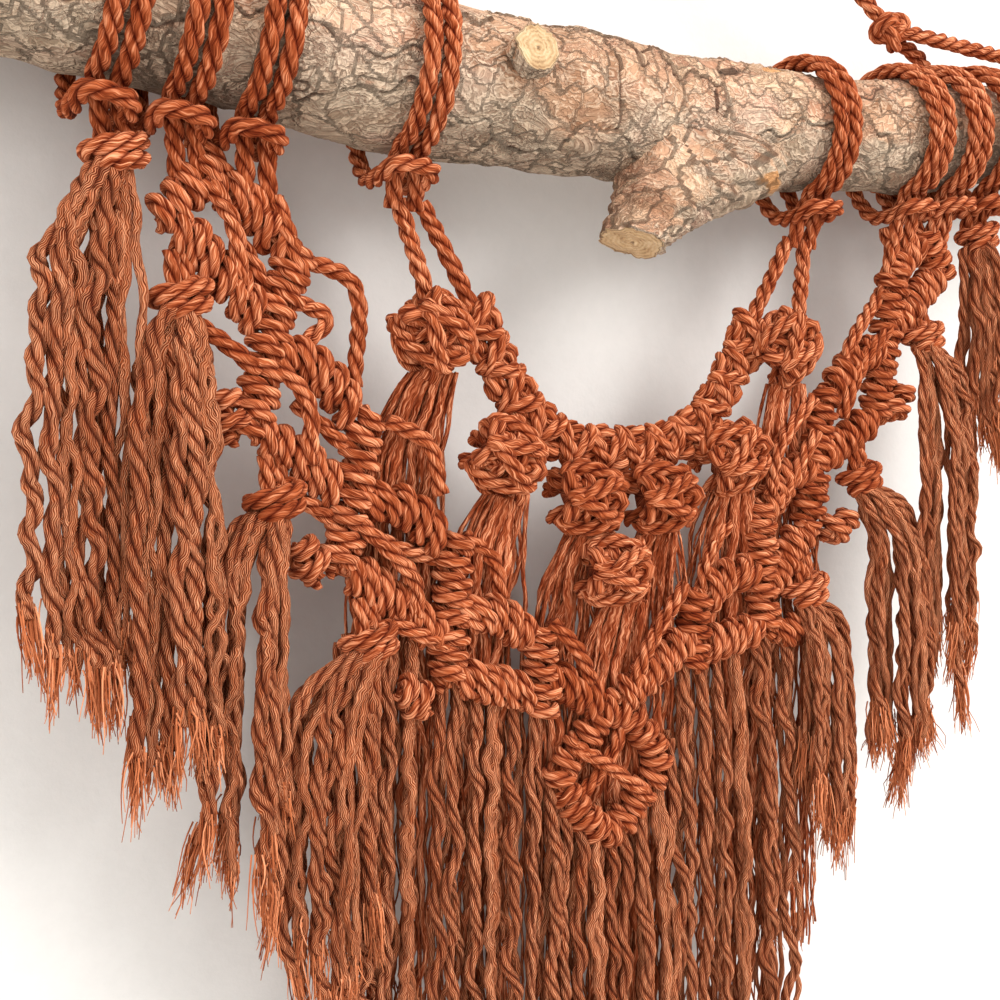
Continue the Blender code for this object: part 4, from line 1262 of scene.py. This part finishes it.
def pine_bark():
    """Tan, grey and pink by plate and by noise, with grey painted shade on faces that point down; dark
    cracks partly painted shade, pale rims as painted highlight, and contour lines.
    """
    f = Finish("pine_bark_flakes")
    where = f.node("ShaderNodeTexCoord", out="Object")
    # The normal's upward part: faces that point down get the grey painted shade below.
    height = f.part(f.node("ShaderNodeNewGeometry", out="Normal"), 2)
    plate = f.attribute("shade")
    crack_and_shade = f.attribute("groove")
    long_way = f.stretch(where, (0.55, 1.0, 1.0))
    broad = f.noise(long_way, 38.0, 3.0, 0.6, 0.4)
    moved = f.vectors("ADD", long_way, f.joined(plate * 0.31, plate * 0.17, plate * 0.23))
    medium = f.noise(moved, 95.0, 4.0, 0.6, 1.1)
    grit = f.noise(where, 900.0, 3.0, 0.65)
    flaky = f.between(f.noise(where, 60.0, 2.0, 0.5), 0.42, 0.58)
    lines = f.sine(medium * 58.0 + grit * 3.0)
    fine_lines = f.sine(medium * 135.0 + grit * 3.0)
    wander = f.node("ShaderNodeTexNoise", None, {"Vector": where, "Scale": 120.0, "Detail": 3.0}, out=1)
    pushed = f.vectors("ADD", long_way, f.stretch(wander, (0.013, 0.013, 0.013)))
    wobbled = f.vectors("ADD", where, f.stretch(wander, (0.006, 0.006, 0.006)))
    flake = f.node("ShaderNodeTexVoronoi", None, {"Vector": pushed, "Scale": 150.0}, out=1)
    flake_edge = f.node("ShaderNodeTexVoronoi", {"feature": "DISTANCE_TO_EDGE"},
                        {"Vector": pushed, "Scale": 150.0})
    tan = f.ramp(plate * 0.55 + flake * 0.45, (0.15, (0.36, 0.18, 0.095)), (0.35, (0.66, 0.39, 0.24)),
                 (0.55, (0.52, 0.26, 0.155)), (0.7, (0.72, 0.46, 0.29)), (0.9, (0.38, 0.21, 0.12)))
    # Grey bark and painted shade on faces that point down.
    grey = f.ramp(medium, (0.3, (0.19, 0.150, 0.100)), (0.6, (0.46, 0.40, 0.305)))
    under = f.between(broad * 0.9 - height * 0.46, 0.44, 0.68)
    colour = f.blend(under * 0.75, tan, grey)
    pink = f.between(broad, 0.52, 0.7)
    colour = f.blend(pink * 0.45, colour, (0.76, 0.44, 0.33, 1.0))
    ridge = f.between(lines, 0.45, 0.98)
    colour = f.blend(ridge * 0.36, colour, (0.93, 0.70, 0.50, 1.0))
    valley = f.between(lines, -0.85, -1.0) * 0.32 + f.between(fine_lines, 0.7, 1.0) * flaky * 0.62
    colour = f.blend(valley, colour, (0.22, 0.10, 0.06, 1.0))
    # Dark flake edges: partly the bark's own colour, partly painted shade in the cracks.
    colour = f.blend(f.between(flake_edge, 0.045, 0.0) * f.between(medium, 0.44, 0.58) * 0.4, colour,
                     (0.20, 0.085, 0.05, 1.0))
    # Pale lifted rims: painted highlight.
    lifted_rim_highlight = f.between(flake_edge, 0.02, 0.06) * f.between(flake_edge, 0.17, 0.07)
    colour = f.blend(lifted_rim_highlight * f.between(broad, 0.40, 0.56) * 0.42, colour, (0.93, 0.72, 0.53, 1.0))
    speck = f.between(grit, 0.64, 0.76) * flaky
    colour = f.blend(speck * 0.7, colour, (0.14, 0.08, 0.05, 1.0))
    # Dark cracks: partly the bark's own colour, partly painted shade.
    colour = f.blend(f.between(crack_and_shade, 0.45, 1.0) * 0.62, colour, (0.14, 0.056, 0.032, 1.0))
    for middle, size, paint, depth in MARKS:
        offset = f.vectors("SUBTRACT", wobbled, middle)
        scaled = f.stretch(offset, tuple(1.0 / reach for reach in size))
        apart = f.node("ShaderNodeVectorMath", {"operation": "LENGTH"}, {0: scaled}, out="Value")
        colour = f.blend(f.between(apart, 1.1, 0.75) * depth, colour, (*paint, 1.0))
    relief = lines * 0.20 + fine_lines * flaky * 0.16 + grit * 0.45
    relief = relief + medium * 0.8 + flake * 1.3 + lifted_rim_highlight * 0.35
    f.set(Base_Color=colour, Roughness=0.84, Normal=f.bump(relief, 1.0, 0.0009))
    f.shader.inputs["Specular IOR Level"].default_value = 0.25
    return f.material


def cut_wood():
    """Yellowish end grain: rings by distance from the pith, held in the UV map, and saw marks."""
    f = Finish("cut_pine_wood")
    uv = f.node("ShaderNodeUVMap", {"uv_map": "UVMap"})
    out_from_pith = f.part(uv, 1)
    where = f.node("ShaderNodeTexCoord", out="Object")
    patch = f.noise(where, 260.0, 3.0, 0.6, 0.3)
    grit = f.noise(where, 1500.0, 3.0, 0.7)
    rings = f.sine(out_from_pith * 5200.0 + patch * 4.0)
    colour = f.ramp(rings * 0.10 + patch, (0.25, (0.36, 0.20, 0.09)), (0.45, (0.60, 0.39, 0.20)),
                    (0.75, (0.74, 0.55, 0.33)))
    colour = f.blend(f.between(grit, 0.56, 0.70) * 0.6, colour, (0.24, 0.14, 0.07, 1.0))
    rim = f.between(f.attribute("groove"), 0.4, 0.9)
    colour = f.blend(rim, colour, (0.085, 0.052, 0.032, 1.0))
    f.set(Base_Color=colour, Roughness=0.8, Normal=f.bump(rings * 0.2 + grit + patch, 0.7, 0.0005))
    return f.material


BARK = pine_bark()
WOOD = cut_wood()

# %% [markdown]
# ## The branch and its cut shoots
# The branch is one grid of rings that also closes its two sawn ends. Two side shoots were cut
# off: a small one close to the bark on the room side, and a longer one underneath that points
# down, left and to the room. Each is a profile carried along its own line, and its sawn face is
# the same surface folded in to its middle.

# %% Branch
def branch():
    """The bark grid with its plate and crack values, and end grain on the folded-in rings."""
    grid, value, edge, small, small_edge = bark_grid()
    rings = len(grid)
    u = np.broadcast_to(np.arange(SIDES) * (2 * math.pi * BARK_R / SIDES), (rings, SIDES))
    middle = grid.mean(axis=1, keepdims=True)
    from_pith = np.linalg.norm(grid - middle, axis=2).mean(axis=1)
    # How dark each place is painted at plate edges: cracks, partly bark colour and partly painted shade.
    crack_and_shade = np.maximum(np.exp(-(edge / 0.0006) ** 2), 0.10 * np.exp(-(small_edge / 0.0004) ** 2))
    cap = (np.arange(rings) < CAP_RINGS) | (np.arange(rings) >= rings - CAP_RINGS)
    crack_and_shade = np.where(cap[:, None], 0.0, crack_and_shade)
    surface = closed_grid(grid, u, from_pith, crack_and_shade, 0.5)
    surface["shade"] = np.concatenate(((0.8 * value + 0.2 * small).ravel(), (0.5, 0.5)))
    surface["finish"] = np.repeat(cap[:-1] | cap[1:], SIDES).astype(int)
    surface["end_finish"] = 1
    return place(mesh_from("pine_branch", [surface], [BARK, WOOD]), "branch", ["branch"])


def cut_shoot(name, root, tip, radii, face_way, sides=64, wild=0.0006, flare=0.0):
    """Rings from the root to the saw cut, then rings that shrink to the pith.

    The cut lies square to face_way: a rim point moves along the shoot by
    - r (across . face) / (heading . face). `flare` carries the root's side on towards +X.
    """
    rng = luck(name)
    way = tip - root
    reach = np.linalg.norm(way)
    heading = way / reach
    face_way = unit(np.asarray(face_way, float))
    first = unit(np.cross(heading, (0.0, 1.0, 0.2)))
    second = np.cross(heading, first)
    t = np.linspace(0.0, 1.0, 60)
    angle = np.arange(sides) * 2 * math.pi / sides
    across = np.cos(angle)[:, None] * first + np.sin(angle)[:, None] * second
    radius = np.interp(t, np.linspace(0, 1, len(radii)), radii)
    lump = 1.0 + 0.05 * np.sin(2 * angle + 0.7) + 0.03 * np.sin(5 * angle + 1.9)
    noise = wild * rng.normal(0.0, 1.0, (len(t), sides))
    for _ in range(2):
        noise = (noise + np.roll(noise, 1, 1) + np.roll(noise, 1, 0) + np.roll(noise, -1, 1)) / 2.6
    girth = 2 * math.pi * radii[len(radii) // 2]
    where = np.stack(np.broadcast_arrays(t[:, None] * reach, angle * girth / (2 * math.pi)), -1)
    push = np.stack((ripple(where, rng, 0.014), ripple(where, rng, 0.011)), -1)
    where = where + 0.0025 * push * np.sin(angle / 2)[None, :, None] ** 2
    value, edge = plates(where, rng, 0.011, girth)
    noise = noise + 0.0006 * (value - 0.5) - 0.0005 * np.exp(-(edge / 0.0006) ** 2)
    noise = noise + 0.0003 * np.exp(-((edge - 0.0011) / 0.0007) ** 2)
    widen = flare * (1 - t[:, None]) ** 1.5 * np.clip(across[:, 0], 0.0, 1.0) ** 1.4
    full = radius[:, None] * lump + noise
    slant = -radius[-1] * (across @ face_way) / (heading @ face_way)

    def ring(size, out):
        return root + size[..., None] * across + out[..., None] * heading

    side_rings = ring(full, t[:, None] * reach + slant * t[:, None] ** 5) + widen[..., None] * RIGHT
    shrink = np.linspace(0.965, 0.05, 13)[:, None]
    dish = 0.0004 * np.sin(angle * 2 + 1.0) * np.sin(shrink * 9.0)
    face = ring(full[-1] * shrink, reach + slant * shrink + dish)
    grid = np.concatenate((side_rings, face))
    from_pith = np.concatenate((radius, radius[-1] * shrink[:, 0]))
    dark = np.interp(shrink[:, 0], (0, 0.07, 0.13, 0.9, 0.965), (0.9, 0.7, 0, 0, 0.8))
    # How dark each place is painted at plate edges: cracks, partly bark colour and partly painted shade.
    crack_and_shade = 0.55 * np.exp(-(edge / 0.0005) ** 2)
    groove = np.concatenate((crack_and_shade, np.repeat(dark[:, None], sides, 1)))
    u = np.broadcast_to(angle * radius[-1], grid.shape[:2])
    surface = closed_grid(grid, u, from_pith, groove, 0.55)
    surface["shade"] = np.concatenate((value.ravel(), np.full(len(shrink) * sides + 2, 0.5)))
    surface["finish"] = np.repeat(np.arange(len(grid) - 1) >= len(t) - 1, sides).astype(int)
    surface["end_finish"] = 1
    return place(mesh_from(name, [surface], [BARK, WOOD]), "branch", ())


branch()
SHOOT_ROOT = around(-0.0405, 104.0, 0.008)
SHOOT_TIP = around(-0.0405, 104.0, branch_r(-0.040) + 0.0036)
cut_shoot("sawn_shoot", SHOOT_ROOT, SHOOT_TIP, (0.0062, 0.0063, 0.0063, 0.0063),
          SHOOT_TIP - SHOOT_ROOT + (0.001, -0.002, 0.0), wild=0.0002)
STUB_ROOT = around(0.024, 0.0, 0.0)
STUB_TIP = STUB_ROOT + (-0.0305, -0.016, -0.0395)
cut_shoot("cut_side_branch", STUB_ROOT, STUB_TIP,
          (0.0150, 0.0160, 0.0160, 0.0146, 0.0128, 0.0110, 0.0096, 0.0086, 0.0082),
          (-0.28, -0.20, -0.94), flare=0.042)
print("branch made")

# %% [markdown]
# ## Floor, wall and light
# The hanging is shown against a plain off-white wall, over a plain pale floor. The wall can be
# seen through from behind, so that the back can be looked at too. A large soft light stands high
# in front and to the right, like a tall window, and the sky fills the rest.

# %% Stage
def plain(name, colour, see_through=False):
    """A matt paint; if asked, faces seen from behind are transparent."""
    f = Finish(name)
    f.shader.inputs["Roughness"].default_value = 0.9
    f.shader.inputs["Specular IOR Level"].default_value = 0.1
    grain = f.noise(f.node("ShaderNodeTexCoord", out="Object"), 260.0, 4.0, 0.6)
    f.set(Base_Color=f.ramp(grain, (0.3, tuple(c * 0.97 for c in colour)), (0.7, colour)),
          Normal=f.bump(grain, 0.25, 0.0006))
    if see_through:
        back = f.node("ShaderNodeNewGeometry", out="Backfacing")
        clear = f.node("ShaderNodeBsdfTransparent")
        output = f.tree.nodes["Material Output"]
        paint = Wire(f, f.shader.outputs[0])
        mixed = f.node("ShaderNodeMixShader", None, {0: back, 1: paint, 2: clear})
        f.tree.links.new(mixed.socket, output.inputs["Surface"])
    return f.material


def sheet(name, corners, material):
    """One flat face from four corners."""
    mesh = bpy.data.meshes.new(name)
    mesh.from_pydata(corners, [], [(0, 1, 2, 3)])
    mesh.materials.append(material)
    made = bpy.data.objects.new(name, mesh)
    bpy.context.scene.collection.objects.link(made)
    return made


WALL_Y, FLOOR_Z = 0.0325, -0.95
sheet("wall", [(-3, WALL_Y, FLOOR_Z), (3, WALL_Y, FLOOR_Z), (3, WALL_Y, 2.2), (-3, WALL_Y, 2.2)],
      plain("wall_paint", (0.800, 0.786, 0.766), True))
sheet("floor", [(-4, -4, FLOOR_Z), (4, -4, FLOOR_Z), (4, 4, FLOOR_Z), (-4, 4, FLOOR_Z)],
      plain("floor_paint", (0.80, 0.79, 0.77)))


def soft_light(name, spot, aim, size, watts, colour):
    """A square lamp that looks at a point."""
    data = bpy.data.lights.new(name, "AREA")
    data.size = size
    data.energy = watts
    data.color = colour
    lamp = bpy.data.objects.new(name, data)
    bpy.context.scene.collection.objects.link(lamp)
    lamp.location = spot
    lamp.rotation_euler = (Vector(aim) - Vector(spot)).to_track_quat("-Z", "Y").to_euler()


soft_light("window", (0.75, -1.25, 0.75), (0.0, 0.0, -0.2), 1.1, 31.0, (1.0, 0.985, 0.96))
soft_light("fill", (-1.2, -1.2, 0.1), (0.0, 0.0, -0.2), 1.2, 10.0, (1.0, 0.97, 0.93))
world = bpy.data.worlds.new("studio")
bpy.context.scene.world = world
world.use_nodes = True
world.node_tree.nodes["Background"].inputs["Color"].default_value = (1.0, 0.985, 0.965, 1.0)
world.node_tree.nodes["Background"].inputs["Strength"].default_value = 0.78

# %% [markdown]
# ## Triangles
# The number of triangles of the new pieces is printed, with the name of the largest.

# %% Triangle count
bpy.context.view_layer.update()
print("triangles:", sum(TRIANGLES.values()), "largest:", max(TRIANGLES, key=TRIANGLES.get))
